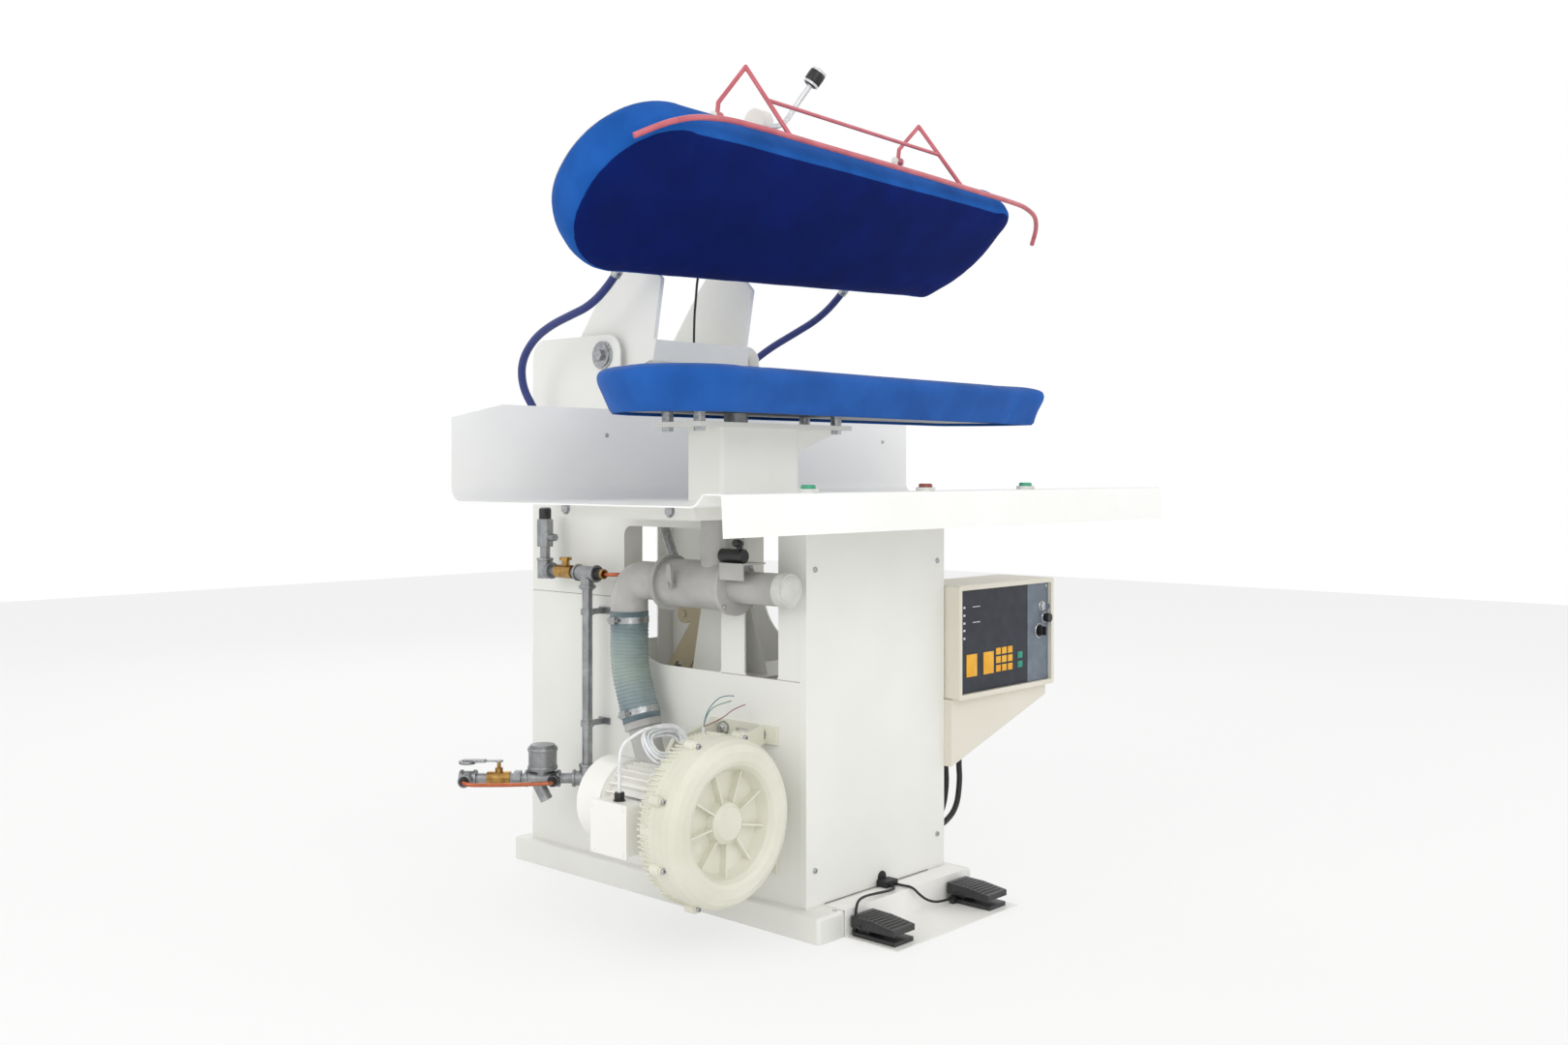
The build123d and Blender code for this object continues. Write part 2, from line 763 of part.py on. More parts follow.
# Bell crank: two plates on a hub, one arm to the link and a slotted arm to the cylinder rod
stroke_dy = stroke_pin_y - crank_y
stroke_dz = stroke_pin_z - crank_z
slot_far = math.hypot(stroke_dy, stroke_dz)
slot_near = slot_far * math.cos(math.radians(open_angle / 2))
arm_turn = math.degrees(math.atan2(stroke_dz, stroke_dy))
with BuildPart() as bell_crank:
    for side in (-1, 1):
        near = link_x + side * plate_gap
        with BuildSketch(Plane.YZ.offset(near)):
            with Locations((crank_y, crank_z)):
                Circle(30)
            with Locations((crank_y + link_dy, crank_z + link_dz)):
                Circle(20)
            make_hull()
        extrude(amount=side * lever_plate)
        with BuildSketch(Plane.YZ.offset(near)):
            with Locations((crank_y, crank_z)):
                Circle(30)
            with Locations((stroke_pin_y, stroke_pin_z)):
                Circle(26)
            make_hull()
        extrude(amount=side * lever_plate)
    with BuildSketch(Plane.YZ.offset(link_x - cheek_in + 1)):
        with Locations((crank_y, crank_z)):
            Circle(20)
    extrude(amount=2 * cheek_in - 2)
    with BuildSketch(Plane.YZ.offset(link_x - plate_gap - lever_plate - 4)):
        with Locations((crank_y + link_dy, crank_z + link_dz)):
            Circle(pin_r)
    extrude(amount=2 * (plate_gap + lever_plate + 4))
    with BuildSketch(Plane.YZ.offset(link_x - cheek_in)):
        with Locations((crank_y, crank_z)):
            Circle(crank_pin_r + pin_clear)
    extrude(amount=2 * cheek_in, mode=Mode.SUBTRACT)
    slot_plane = Plane(
        origin=(link_x - cheek_in, crank_y, crank_z),
        x_dir=(0, stroke_dy, stroke_dz),
        z_dir=(1, 0, 0),
    )
    with BuildSketch(slot_plane):
        with Locations(((slot_near + slot_far) / 2, 0)):
            SlotCenterToCenter(slot_far - slot_near + 3, 2 * (pin_r + 2))
    extrude(amount=2 * cheek_in, mode=Mode.SUBTRACT)
bell_crank.part.label = "bell_crank"
export_step(bell_crank.part, "parts/bell_crank.step")

# Toggle link: round bar with flat eyes between the crank and the yoke's tail
link_bottom = (link_x, crank_y + link_dy, crank_z + link_dz)
link_top = (link_x, pivot_y + link_dy, pivot_z + link_dz)
with BuildPart() as toggle_link:
    with BuildSketch(Plane.YZ.offset(link_x - 6)):
        for _, y, z in (link_bottom, link_top):
            with Locations((y, z)):
                Circle(18)
    extrude(amount=12)
    rod_between(link_bottom, link_top, 10)
    with BuildSketch(Plane.YZ.offset(link_x - 12)):
        with Locations(link_bottom[1:]):
            Circle(pin_r + pin_clear)
        with Locations(link_top[1:]):
            Circle(pin_r + open_clear)
    extrude(amount=24, mode=Mode.SUBTRACT)
toggle_link.part.label = "toggle_link"
export_step(toggle_link.part, "parts/toggle_link.step")

# Air cylinder: barrel with caps, gland and a foot on the base
rod_dy = math.cos(math.radians(rod_angle))
rod_dz = math.sin(math.radians(rod_angle))
rod_r = 10
barrel_r = 40
barrel_wall = 4
gland_end = 60
barrel_length = 250


def along_rod(distance):
    """Point on the cylinder's axis, counted from the stroke pin towards the gland."""
    return (link_x, stroke_pin_y - rod_dy * distance, stroke_pin_z - rod_dz * distance)


rod_dir = (0, rod_dy, rod_dz)
foot_at = along_rod(gland_end + barrel_length + 34)
with BuildPart() as air_cylinder:
    with BuildSketch(Plane(origin=along_rod(gland_end + barrel_length), z_dir=rod_dir)):
        Circle(barrel_r)
    extrude(amount=barrel_length - 14)
    with BuildSketch(Plane(origin=along_rod(gland_end + 14), z_dir=rod_dir)):
        Circle(18)
    extrude(amount=14)
    with BuildSketch(Plane(origin=along_rod(gland_end + barrel_length - 14), z_dir=rod_dir)):
        Circle(barrel_r - barrel_wall)
    extrude(amount=barrel_length - 44, mode=Mode.SUBTRACT)
    with BuildSketch(Plane(origin=along_rod(gland_end + 40), z_dir=rod_dir)):
        Circle(rod_r + shaft_clear)
    extrude(amount=60, mode=Mode.SUBTRACT)
    with BuildSketch(Plane.YZ.offset(link_x - 12)):
        with Locations(foot_at[1:]):
            Circle(18)
        with BuildLine():
            away = Vector(0, -rod_dz, rod_dy) * 18
            top = Vector(*along_rod(gland_end + barrel_length - 2))
            Polyline(
                *[(p.Y, p.Z) for p in (Vector(*foot_at) + away, top + away, top - away, Vector(*foot_at) - away)],
                close=True,
            )
        make_face()
    extrude(amount=24)
    for side in (-1, 1):
        with BuildSketch(Plane.YZ.offset(link_x + side * 12.3)):
            with Locations(foot_at[1:]):
                Circle(22)
            with BuildLine():
                Polyline(
                    (foot_at[1] - 40, base_height + fit_gap),
                    (foot_at[1] + 40, base_height + fit_gap),
                    (foot_at[1] + 22, foot_at[2]),
                    (foot_at[1] - 22, foot_at[2]),
                    close=True,
                )
            make_face()
        extrude(amount=side * 10)
    with Locations((link_x, foot_at[1], base_height + fit_gap + 4)):
        Box(110, 100, 8)
    with BuildSketch(Plane.YZ.offset(link_x - 26)):
        with Locations(foot_at[1:]):
            Circle(8)
    extrude(amount=52)
air_cylinder.part.label = "air_cylinder"
export_step(air_cylinder.part, "parts/air_cylinder.step")

# Cylinder rod: piston, rod and an eye block with the pin that works in the crank's slot
rod_length = 280
with BuildPart() as cylinder_rod:
    rod_between(along_rod(rod_length), along_rod(0), rod_r)
    rod_between(along_rod(rod_length), along_rod(rod_length - 16), barrel_r - barrel_wall - 0.4)
    with BuildSketch(Plane.YZ.offset(link_x - 13)):
        with Locations((stroke_pin_y, stroke_pin_z)):
            Circle(16)
    extrude(amount=26)
    with BuildSketch(Plane.YZ.offset(link_x - plate_gap - lever_plate - 5)):
        with Locations((stroke_pin_y, stroke_pin_z)):
            Circle(pin_r)
    extrude(amount=2 * (plate_gap + lever_plate + 5))
cylinder_rod.part.label = "cylinder_rod"
export_step(cylinder_rod.part, "parts/cylinder_rod.step")

# Vacuum valve body: hollow tee under the table with bleed stub, bracket and a small actuator
body_r = 46
body_bore = 40
body_front = -262
body_rear = -88
neck_flange = 6
stub_r = 30
stub_front = -414
elbow_start = -12
spindle_y = -142
spindle_r = 5
with BuildPart() as vacuum_valve_body:
    duct = Plane(origin=(duct_x, body_rear, duct_z), z_dir=(0, -1, 0))
    with BuildSketch(duct):
        Circle(body_r)
    extrude(amount=body_rear - body_front)
    with BuildSketch(duct):
        Circle(duct_r)
    extrude(amount=body_rear - elbow_start)
    with BuildSketch(duct.offset(body_rear - body_front)):
        Circle(stub_r)
    extrude(amount=body_front - stub_front - 12)
    for distance in (0, body_rear - body_front):
        with BuildSketch(duct.offset(distance - 5)):
            Circle(body_r + 8)
        extrude(amount=10)
    with BuildSketch(Plane.XY.offset(duct_z)):
        with Locations((duct_x, neck_y)):
            Circle(neck_r)
    extrude(amount=underside - duct_z)
    with BuildSketch(Plane.XY.offset(underside - neck_flange)):
        with Locations((duct_x + 10, neck_y)):
            RectangleRounded(140, 104, 8)
    extrude(amount=neck_flange)
    with BuildSketch(Plane.XY.offset(duct_z)):
        with Locations((duct_x, neck_y)):
            Circle(neck_r - 5)
    extrude(amount=underside - duct_z + 1, mode=Mode.SUBTRACT)
    with BuildSketch(duct.offset(8)):
        Circle(body_bore)
    extrude(amount=body_rear - body_front - 14, mode=Mode.SUBTRACT)
    with BuildSketch(duct.offset(10)):
        Circle(duct_r - duct_wall)
    extrude(amount=-(elbow_start - body_rear + 12), mode=Mode.SUBTRACT)
    with BuildSketch(duct.offset(40)):
        Circle(stub_r - 4)
    extrude(amount=400, mode=Mode.SUBTRACT)
    with BuildSketch(Plane.YZ.offset(duct_x - 100)):
        with Locations((spindle_y, duct_z)):
            Circle(spindle_r + shaft_clear)
    extrude(amount=200, mode=Mode.SUBTRACT)
    with Locations((duct_x - 20, -300, duct_z + 46)):
        Box(60, 60, 3)
    with Locations((duct_x - 48.5, -300, duct_z + 32)):
        Box(3, 60, 31)
    with Locations((duct_x, -272, duct_z + 36.5)):
        Box(8, 6, 19)
    rod_between((duct_x - 34, -318, duct_z + 60), (duct_x - 34, -262, duct_z + 60), 12.5)
vacuum_valve_body.part.label = "vacuum_valve_body"
export_step(vacuum_valve_body.part, "parts/vacuum_valve_body.step")

# Valve flap: butterfly disc on its spindle with an outside lever
flap_r = body_bore - 1.5
with BuildPart() as valve_flap:
    with BuildSketch(Plane(origin=(duct_x, spindle_y - 2, duct_z), z_dir=(0, 1, 0))):
        Circle(flap_r)
    extrude(amount=4)
    rod_between((duct_x - body_r - 16, spindle_y, duct_z), (duct_x + body_r + 4, spindle_y, duct_z), spindle_r)
    with BuildSketch(Plane.YZ.offset(duct_x - body_r - 12)):
        with Locations((spindle_y, duct_z)):
            Circle(9)
        with Locations((spindle_y, duct_z + 34)):
            Circle(6)
        make_hull()
    extrude(amount=5)
valve_flap.part.label = "valve_flap"
export_step(valve_flap.part, "parts/valve_flap.step")

# Vacuum elbow: quarter bend with a spigot that the hose slips over
bend_radius = 46
elbow_y = elbow_start + bend_radius
spigot_end = hose_top - 34
with BuildPart() as vacuum_elbow:
    bend_path = Wire([
        Edge.make_three_point_arc(
            (duct_x, elbow_start, duct_z),
            (duct_x, elbow_start + bend_radius * cos_open, duct_z - bend_radius * (1 - cos_open)),
            (duct_x, elbow_y, duct_z - bend_radius),
        )
    ])
    with BuildSketch(Plane(origin=(duct_x, elbow_start, duct_z), z_dir=(0, 1, 0))) as elbow_ring:
        Circle(duct_r)
        Circle(hose_inner_r - 4, mode=Mode.SUBTRACT)
    sweep(path=bend_path)
    with BuildSketch(Plane.XY.offset(duct_z - bend_radius)):
        with Locations((duct_x, elbow_y)):
            Circle(duct_r)
            Circle(hose_inner_r - 4, mode=Mode.SUBTRACT)
    extrude(amount=-(duct_z - bend_radius - hose_top))
    with BuildSketch(Plane.XY.offset(hose_top)):
        with Locations((duct_x, elbow_y)):
            Circle(hose_inner_r - fit_gap)
            Circle(hose_inner_r - 4, mode=Mode.SUBTRACT)
    extrude(amount=-(hose_top - spigot_end))
vacuum_elbow.part.label = "vacuum_elbow"
export_step(vacuum_elbow.part, "parts/vacuum_elbow.step")

# Route of the ribbed hose: straight, one gentle arc, straight; lean is its tilt at the foot
hose_lean = 20
hose_arc_r = 200
hose_straight = 2 * hose_r
hose_arc_top = hose_top - hose_straight


def hose_station(distance):
    """Centre and downward direction of the hose at a length from its top."""
    lean = math.radians(hose_lean)
    arc_length = hose_arc_r * lean
    along = min(max(distance - hose_straight, 0), arc_length)
    turn = along / hose_arc_r
    y = elbow_y - hose_arc_r * (1 - math.cos(turn))
    z = hose_top - min(distance, hose_straight) - hose_arc_r * math.sin(turn)
    rest = max(distance - hose_straight - arc_length, 0)
    return (duct_x, y - rest * math.sin(turn), z - rest * math.cos(turn)), (0, -math.sin(turn), -math.cos(turn))


hose_length = 2 * hose_straight + hose_arc_r * math.radians(hose_lean)


def hose_circle(distance, radius):
    """Circle across the hose at a length from its top."""
    center, direction = hose_station(distance)
    with BuildSketch(Plane(origin=center, x_dir=(1, 0, 0), z_dir=direction), mode=Mode.PRIVATE) as ring:
        Circle(radius)
    return ring.sketch


# Vacuum hose: clear ribbed hose with plain cuffs, made of ribs from one rule
cuff = 30
rib_pitch = (hose_length - 2 * cuff) / hose_ribs
with BuildPart() as vacuum_hose:
    stations = [(0, hose_r), (cuff - 1, hose_r)]
    for count in range(hose_ribs):
        start = cuff + count * rib_pitch
        stations.append((start, hose_r - hose_rib))
        stations.append((start + 0.25 * rib_pitch, hose_r))
        stations.append((start + 0.65 * rib_pitch, hose_r))
        stations.append((start + 0.9 * rib_pitch, hose_r - hose_rib))
    stations.append((hose_length - cuff, hose_r))
    stations.append((hose_length, hose_r))
    add(loft([hose_circle(at, radius) for at, radius in stations], ruled=True, mode=Mode.PRIVATE))
    bore = [hose_circle(at, hose_inner_r) for at in (0, hose_straight)]
    bore += [hose_circle(hose_straight + step * hose_arc_r * math.radians(hose_lean) / 6, hose_inner_r)
             for step in range(1, 6)]
    bore += [hose_circle(at, hose_inner_r) for at in (hose_length - hose_straight, hose_length)]
    add(loft(bore, ruled=True, mode=Mode.PRIVATE), mode=Mode.SUBTRACT)
vacuum_hose.part.label = "vacuum_hose"
export_step(vacuum_hose.part, "parts/vacuum_hose.step")

# Hose clamps: worm-drive bands round both cuffs
band_width = 12
with BuildPart() as hose_clamps:
    for distance in (cuff / 2 + 2, hose_length - cuff / 2 - 2):
        center, direction = hose_station(distance)
        band = Plane(origin=center, x_dir=(1, 0, 0), z_dir=direction)
        with BuildSketch(band.offset(-band_width / 2)):
            Circle(hose_r + fit_gap + 1)
            Circle(hose_r + fit_gap, mode=Mode.SUBTRACT)
        extrude(amount=band_width)
        with Locations(band * Location((-hose_r - fit_gap - 4.5, 0, 0))):
            Box(9, 18, band_width + 2)
        screw_end = band * Location((-hose_r - fit_gap - 5, 0, 0))
        with Locations(screw_end):
            Cylinder(3, 30, rotation=(90, 0, 0))
hose_clamps.part.label = "hose_clamps"
export_step(hose_clamps.part, "parts/hose_clamps.step")

# Ring blower sizes
ring_depth = 98
split_y = blower_face + ring_depth / 2
housing_rear = blower_face + ring_depth
outer_r = ring_r + ring_tube_r
lug_r = outer_r + 3
lug_count = 8
blower_axis = Plane(origin=(blower_x, 0, blower_z), x_dir=(1, 0, 0), z_dir=(0, 1, 0))


def blower_ring(profile):
    """Solid of revolution about the blower's axis from points of radius and Y."""
    with BuildSketch(Plane(origin=(blower_x, 0, blower_z), x_dir=(1, 0, 0), z_dir=(0, 0, -1)),
                     mode=Mode.PRIVATE) as half:
        with BuildLine():
            Polyline(*[(r, -y) for r, y in profile], close=True)
        make_face()
    axis = Axis((blower_x, 0, blower_z), (0, 1, 0))
    add(revolve(half.sketch, axis=axis, mode=Mode.PRIVATE))


# Blower cover: front half of the ring with ribs, hub cone and bolt lugs
channel_in = 98
channel_out = impeller_r + 5
cover_ribs = 9
with BuildPart() as blower_cover:
    blower_ring([
        (0, blower_face + 12), (28, blower_face + 13), (36, blower_face + 19), (40, blower_face + 34),
        (88, blower_face + 34), (92, blower_face + 24), (96, blower_face + 12), (102, blower_face + 4),
        (110, blower_face), (126, blower_face), (138, blower_face + 5), (146, blower_face + 15),
        (outer_r, blower_face + 28), (outer_r, split_y), (channel_out, split_y), (channel_out, blower_face + 22),
        (channel_in, blower_face + 22), (channel_in, split_y - 7), (0, split_y - 7),
    ])
    for count in range(cover_ribs):
        with Locations(blower_axis.offset(blower_face + 27)):
            with PolarLocations(65, 1, start_angle=360 / cover_ribs * (count + 0.3)):
                Box(56, 3.5, 16)
    for count in range(lug_count):
        angle = 360 / lug_count * (count + 0.5)
        with BuildSketch(blower_axis.offset(split_y)):
            with PolarLocations(lug_r, 1, start_angle=angle):
                Circle(9)
        extrude(amount=-10)
        with BuildSketch(blower_axis.offset(split_y - 10)):
            with PolarLocations(lug_r, 1, start_angle=angle):
                RegularPolygon(5, 6, major_radius=False)
        extrude(amount=-5)
blower_cover.part.label = "blower_cover"
export_step(blower_cover.part, "parts/blower_cover.step")

# Blower housing: rear half of the ring with its ribs, lugs and the two ports
port_r = 30
port_z = blower_z + 24
outlet_z = blower_z - 52
with BuildPart() as blower_housing:
    seam = split_y + fit_gap
    blower_ring([
        (outer_r, seam), (outer_r, housing_rear - 28), (146, housing_rear - 15), (138, housing_rear - 5),
        (124, housing_rear), (14, housing_rear), (14, split_y + 7), (channel_in, split_y + 7),
        (channel_in, housing_rear - 22), (channel_out, housing_rear - 22), (channel_out, seam),
    ])
    for count in range(lug_count):
        with BuildSketch(blower_axis.offset(seam)):
            with PolarLocations(lug_r, 1, start_angle=360 / lug_count * (count + 0.5)):
                Circle(9)
        extrude(amount=10)
    for z, reach in ((port_z, 12), (outlet_z, 26)):
        with BuildSketch(Plane(origin=(duct_x, housing_rear - 22, z), z_dir=(0, 1, 0))):
            Circle(port_r + 4)
        extrude(amount=22 + reach)
        with BuildSketch(Plane(origin=(duct_x, housing_rear - 14, z), z_dir=(0, 1, 0))):
            Circle(port_r - 4)
        extrude(amount=60, mode=Mode.SUBTRACT)
    with BuildSketch(blower_axis.offset(housing_rear)):
        with PolarLocations(113, 20):
            Rectangle(44, 4)
        with Locations((duct_x - blower_x, -24)):
            Circle(port_r + 6, mode=Mode.SUBTRACT)
        with Locations((duct_x - blower_x, 52)):
            Circle(port_r + 6, mode=Mode.SUBTRACT)
    extrude(amount=6)
blower_housing.part.label = "blower_housing"
export_step(blower_housing.part, "parts/blower_housing.step")

# Impeller: vaned disc and shaft in the housing
impeller_bore = 10
with BuildPart() as blower_impeller:
    blower_ring([
        (0, split_y - 5), (24, split_y - 5), (24, split_y - 3), (impeller_r, split_y - 3), (impeller_r, split_y + 3),
        (24, split_y + 3), (24, split_y + 5), (impeller_bore, split_y + 5), (impeller_bore, housing_rear + 18),
        (0, housing_rear + 18),
    ])
    with Locations(blower_axis.offset(split_y)):
        with PolarLocations((channel_in + impeller_r) / 2 + 3, 30):
            Box(impeller_r - channel_in - 8, 2.5, 42)
blower_impeller.part.label = "blower_impeller"
export_step(blower_impeller.part, "parts/blower_impeller.step")

# Motor: finned body on the housing, bearing for the impeller shaft, pad for the terminal box
fin_inner = 60
fin_count = 28
fin_start = housing_rear + 22
fin_end = -134
box_seat_x = blower_x - motor_r + 2
with BuildPart() as blower_motor:
    motor_front = housing_rear + 0.3
    blower_ring([
        (impeller_bore + shaft_clear, motor_front), (motor_r, motor_front), (motor_r, motor_front + 14),
        (fin_inner, motor_front + 16), (fin_inner, fin_end), (motor_r, fin_end + 4), (motor_r, -112), (0, -112),
        (0, housing_rear + 20), (impeller_bore + shaft_clear, housing_rear + 20),
    ])
    with Locations(blower_axis.offset((fin_start + fin_end) / 2)):
        with PolarLocations((fin_inner + motor_r) / 2 - 1, fin_count):
            Box(motor_r - fin_inner + 2, 2.6, fin_end - fin_start)
    with Locations((box_seat_x + 4, -205, blower_z - 16)):
        Box(16, 80, 80)
blower_motor.part.label = "blower_motor"
export_step(blower_motor.part, "parts/blower_motor.step")

# Fan cowl: thin cap over the motor's tail with rings of holes
cowl_r = motor_r + 5
cowl_end = -60
with BuildPart() as motor_fan_cowl:
    blower_ring([
        (motor_r + fit_gap, fin_end + 6), (cowl_r, fin_end + 6), (cowl_r, cowl_end - 6), (cowl_r - 6, cowl_end),
        (0, cowl_end), (0, cowl_end - 2), (cowl_r - 8, cowl_end - 2), (motor_r + fit_gap, cowl_end - 8),
    ])
    with BuildSketch(blower_axis.offset(cowl_end - 4)):
        for radius, count in ((18, 8), (34, 14), (50, 20)):
            with PolarLocations(radius, count):
                Circle(4)
    extrude(amount=8, mode=Mode.SUBTRACT)
motor_fan_cowl.part.label = "motor_fan_cowl"
export_step(motor_fan_cowl.part, "parts/motor_fan_cowl.step")

# Terminal box: on the motor's flank with lid, four screws and a cable gland
term_depth = 42
with BuildPart() as terminal_box:
    term_x = box_seat_x - 4 - fit_gap
    term_z = blower_z - 16
    with Locations((term_x - term_depth / 2, -205, term_z)):
        Box(term_depth, 92, 90)
    fillet(terminal_box.edges().filter_by(Axis.X), 6)
    with Locations((term_x - term_depth - 2, -205, term_z)):
        Box(4, 96, 94)
    with BuildSketch(Plane(origin=(term_x - term_depth - 4, -205, term_z), z_dir=(-1, 0, 0))):
        with GridLocations(78, 78, 2, 2):
            Circle(3.5)
    extrude(amount=2.5)
    rod_between((term_x - 20, -205, term_z + 44), (term_x - 20, -205, term_z + 60), 8)
terminal_box.part.label = "terminal_box"
export_step(terminal_box.part, "parts/terminal_box.step")

# Blower foot: upper and lower cast legs from the motor to flanges bolted on the side frame
wall_x = -frame_half - fit_gap
foot_plate = 6
with BuildPart() as blower_foot:
    for level in (-1, 1):
        with Locations((wall_x - foot_plate / 2, -234, blower_z + level * 119.5)):
            Box(foot_plate, 176, 33)
        for y in (housing_rear + 7, -172):
            with BuildSketch(Plane(origin=(0, y, 0), x_dir=(1, 0, 0), z_dir=(0, 1, 0))):
                with BuildLine():
                    Polyline(
                        (wall_x, -blower_z - level * 136), (wall_x, -blower_z - level * 103),
                        (wall_x - 70, -blower_z - level * 90), (-345, -blower_z - level * 46),
                        (-366, -blower_z - level * 62), (-330, -blower_z - level * 112), close=True,
                    )
                make_face()
                with Locations((blower_x, -blower_z)):
                    Circle(motor_r + fit_gap, mode=Mode.SUBTRACT)
                with Locations((duct_x, -port_z), (duct_x, -outlet_z)):
                    Circle(port_r + 6, mode=Mode.SUBTRACT)
            extrude(amount=11)
    for level in (-1, 1):
        for y in (-282, -186):
            with BuildSketch(Plane(origin=(wall_x - foot_plate, y, blower_z + level * 119.5), z_dir=(-1, 0, 0))):
                RegularPolygon(9, 6, major_radius=False)
            extrude(amount=6)
    with BuildSketch(Plane.YZ.offset(wall_x + 1)):
        with Locations((-234, blower_z + 119.5)):
            SlotCenterToCenter(24, 10)
    extrude(amount=-foot_plate - 2, mode=Mode.SUBTRACT)
blower_foot.part.label = "blower_foot"
export_step(blower_foot.part, "parts/blower_foot.step")

# Blower inlet pipe: runs beside the motor, bends up and ends in a spigot inside the hose
foot_center, foot_dir = hose_station(hose_length)
lean_tan = math.tan(math.radians(hose_lean))
pipe_corner = (duct_x, foot_center[1] - (foot_center[2] - port_z) * lean_tan, port_z)
with BuildPart() as blower_inlet_pipe:
    with BuildLine() as pipe_route:
        FilletPolyline((duct_x, housing_rear + 12, port_z), pipe_corner, foot_center, radius=45)
    with BuildSketch(Plane(origin=(duct_x, housing_rear + 12, port_z), z_dir=(0, 1, 0))):
        Circle(port_r)
        Circle(port_r - 3, mode=Mode.SUBTRACT)
    sweep(path=pipe_route.line)
    spigot = Plane(origin=foot_center, x_dir=(1, 0, 0), z_dir=foot_dir)
    with BuildSketch(spigot):
        Circle(hose_r - 1)
        Circle(port_r - 3, mode=Mode.SUBTRACT)
    extrude(amount=14)
    with BuildSketch(spigot):
        Circle(hose_inner_r - fit_gap)
        Circle(port_r - 3, mode=Mode.SUBTRACT)
    extrude(amount=-30)
blower_inlet_pipe.part.label = "blower_inlet_pipe"
export_step(blower_inlet_pipe.part, "parts/blower_inlet_pipe.step")


def least_self_gap(path, diameter, skip):
    """Least gap between turns of one tube, from points along it, ignoring neighbours within skip."""
    count = int(path.length / (diameter * 0.4))
    spots = [path @ (index / count) for index in range(count + 1)]
    apart = int(skip / (diameter * 0.4))
    gap = min(
        (spots[first] - spots[second]).length
        for first in range(0, len(spots), 2)
        for second in range(first + apart, len(spots))
    )
    return gap - diameter


# Motor leads: a hank of white cable leaning on the motor, its tail arching to the terminal box
lead_d = 6
lead_pitch = 6.8
hank_center = (-385, -205, 350)
hank_lean = 50
hank_half = (34, 20)
hank_loops = 3


def on_hank(along, up, out):
    """Point of the leaning hank: along X, up its slope, and out of its plane."""
    lean = math.radians(hank_lean)
    return (
        hank_center[0] + along,
        hank_center[1] + up * math.cos(lean) - out * math.sin(lean),
        hank_center[2] + up * math.sin(lean) + out * math.cos(lean),
    )


with BuildPart() as motor_leads:
    points = []
    radii = []
    for layer, steps in ((0, range(4 * hank_loops)), (1, range(4 * hank_loops - 1, -1, -1))):
        for quarter in steps:
            grown = lead_pitch * quarter / 4
            turn = len(points) % 4
            side_x = (1, -1, -1, 1)[turn]
            side_y = (1, 1, -1, -1)[turn]
            points.append(on_hank(
                side_x * (hank_half[0] + grown), side_y * (hank_half[1] + grown), layer * (lead_pitch + 0.4),
            ))
            radii.append(16 + grown * 0.8)
    points[0] = on_hank(0, hank_half[1], 0)
    tail_x = term_x - 20
    tail = [
        on_hank(32, 20, 21),
        on_hank(-60, 24, 34),
        (tail_x + 6, -206, 368),
        (tail_x, -205, 335),
        (tail_x, -205, term_z + 60),
    ]
    route = points + tail
    tail_radii = corner_radii(route)[len(points) - 2:]
    with BuildLine(mode=Mode.PRIVATE) as hank:
        FilletPolyline(*route, radius=radii[1:-1] + tail_radii)
    lead_path = hank.wire()
    with BuildSketch(Plane(origin=lead_path @ 0, z_dir=lead_path % 0), mode=Mode.PRIVATE) as lead_section:
        Circle(lead_d / 2)
    lead = sweep(sections=lead_section.sketch, path=lead_path, mode=Mode.PRIVATE)
    add(lead)
    print("motor_leads least self gap", round(least_self_gap(lead_path, lead_d, 40), 2))
    print("motor_leads volume ratio", round(lead.volume / (math.pi * lead_d**2 / 4 * lead_path.length), 4))
motor_leads.part.label = "motor_leads"
export_step(motor_leads.part, "parts/motor_leads.step")

# Steam pipes: riser with tee and air vent above, condensate run with trap and strainer below
pipe_r = 10.65
fitting_r = 15
pipe_x = -257
riser_y = 170
riser_top = 640
riser_foot = 217
vent_y = 309
run_dir = (-0.676, 0.737, 0)


def along_run(distance, height=0, aside=0):
    """Point along the lower run, raised or moved aside towards the operator's left."""
    return (
        pipe_x + run_dir[0] * distance - run_dir[1] * aside,
        riser_y + run_dir[1] * distance + run_dir[0] * aside,
        riser_foot + height,
    )


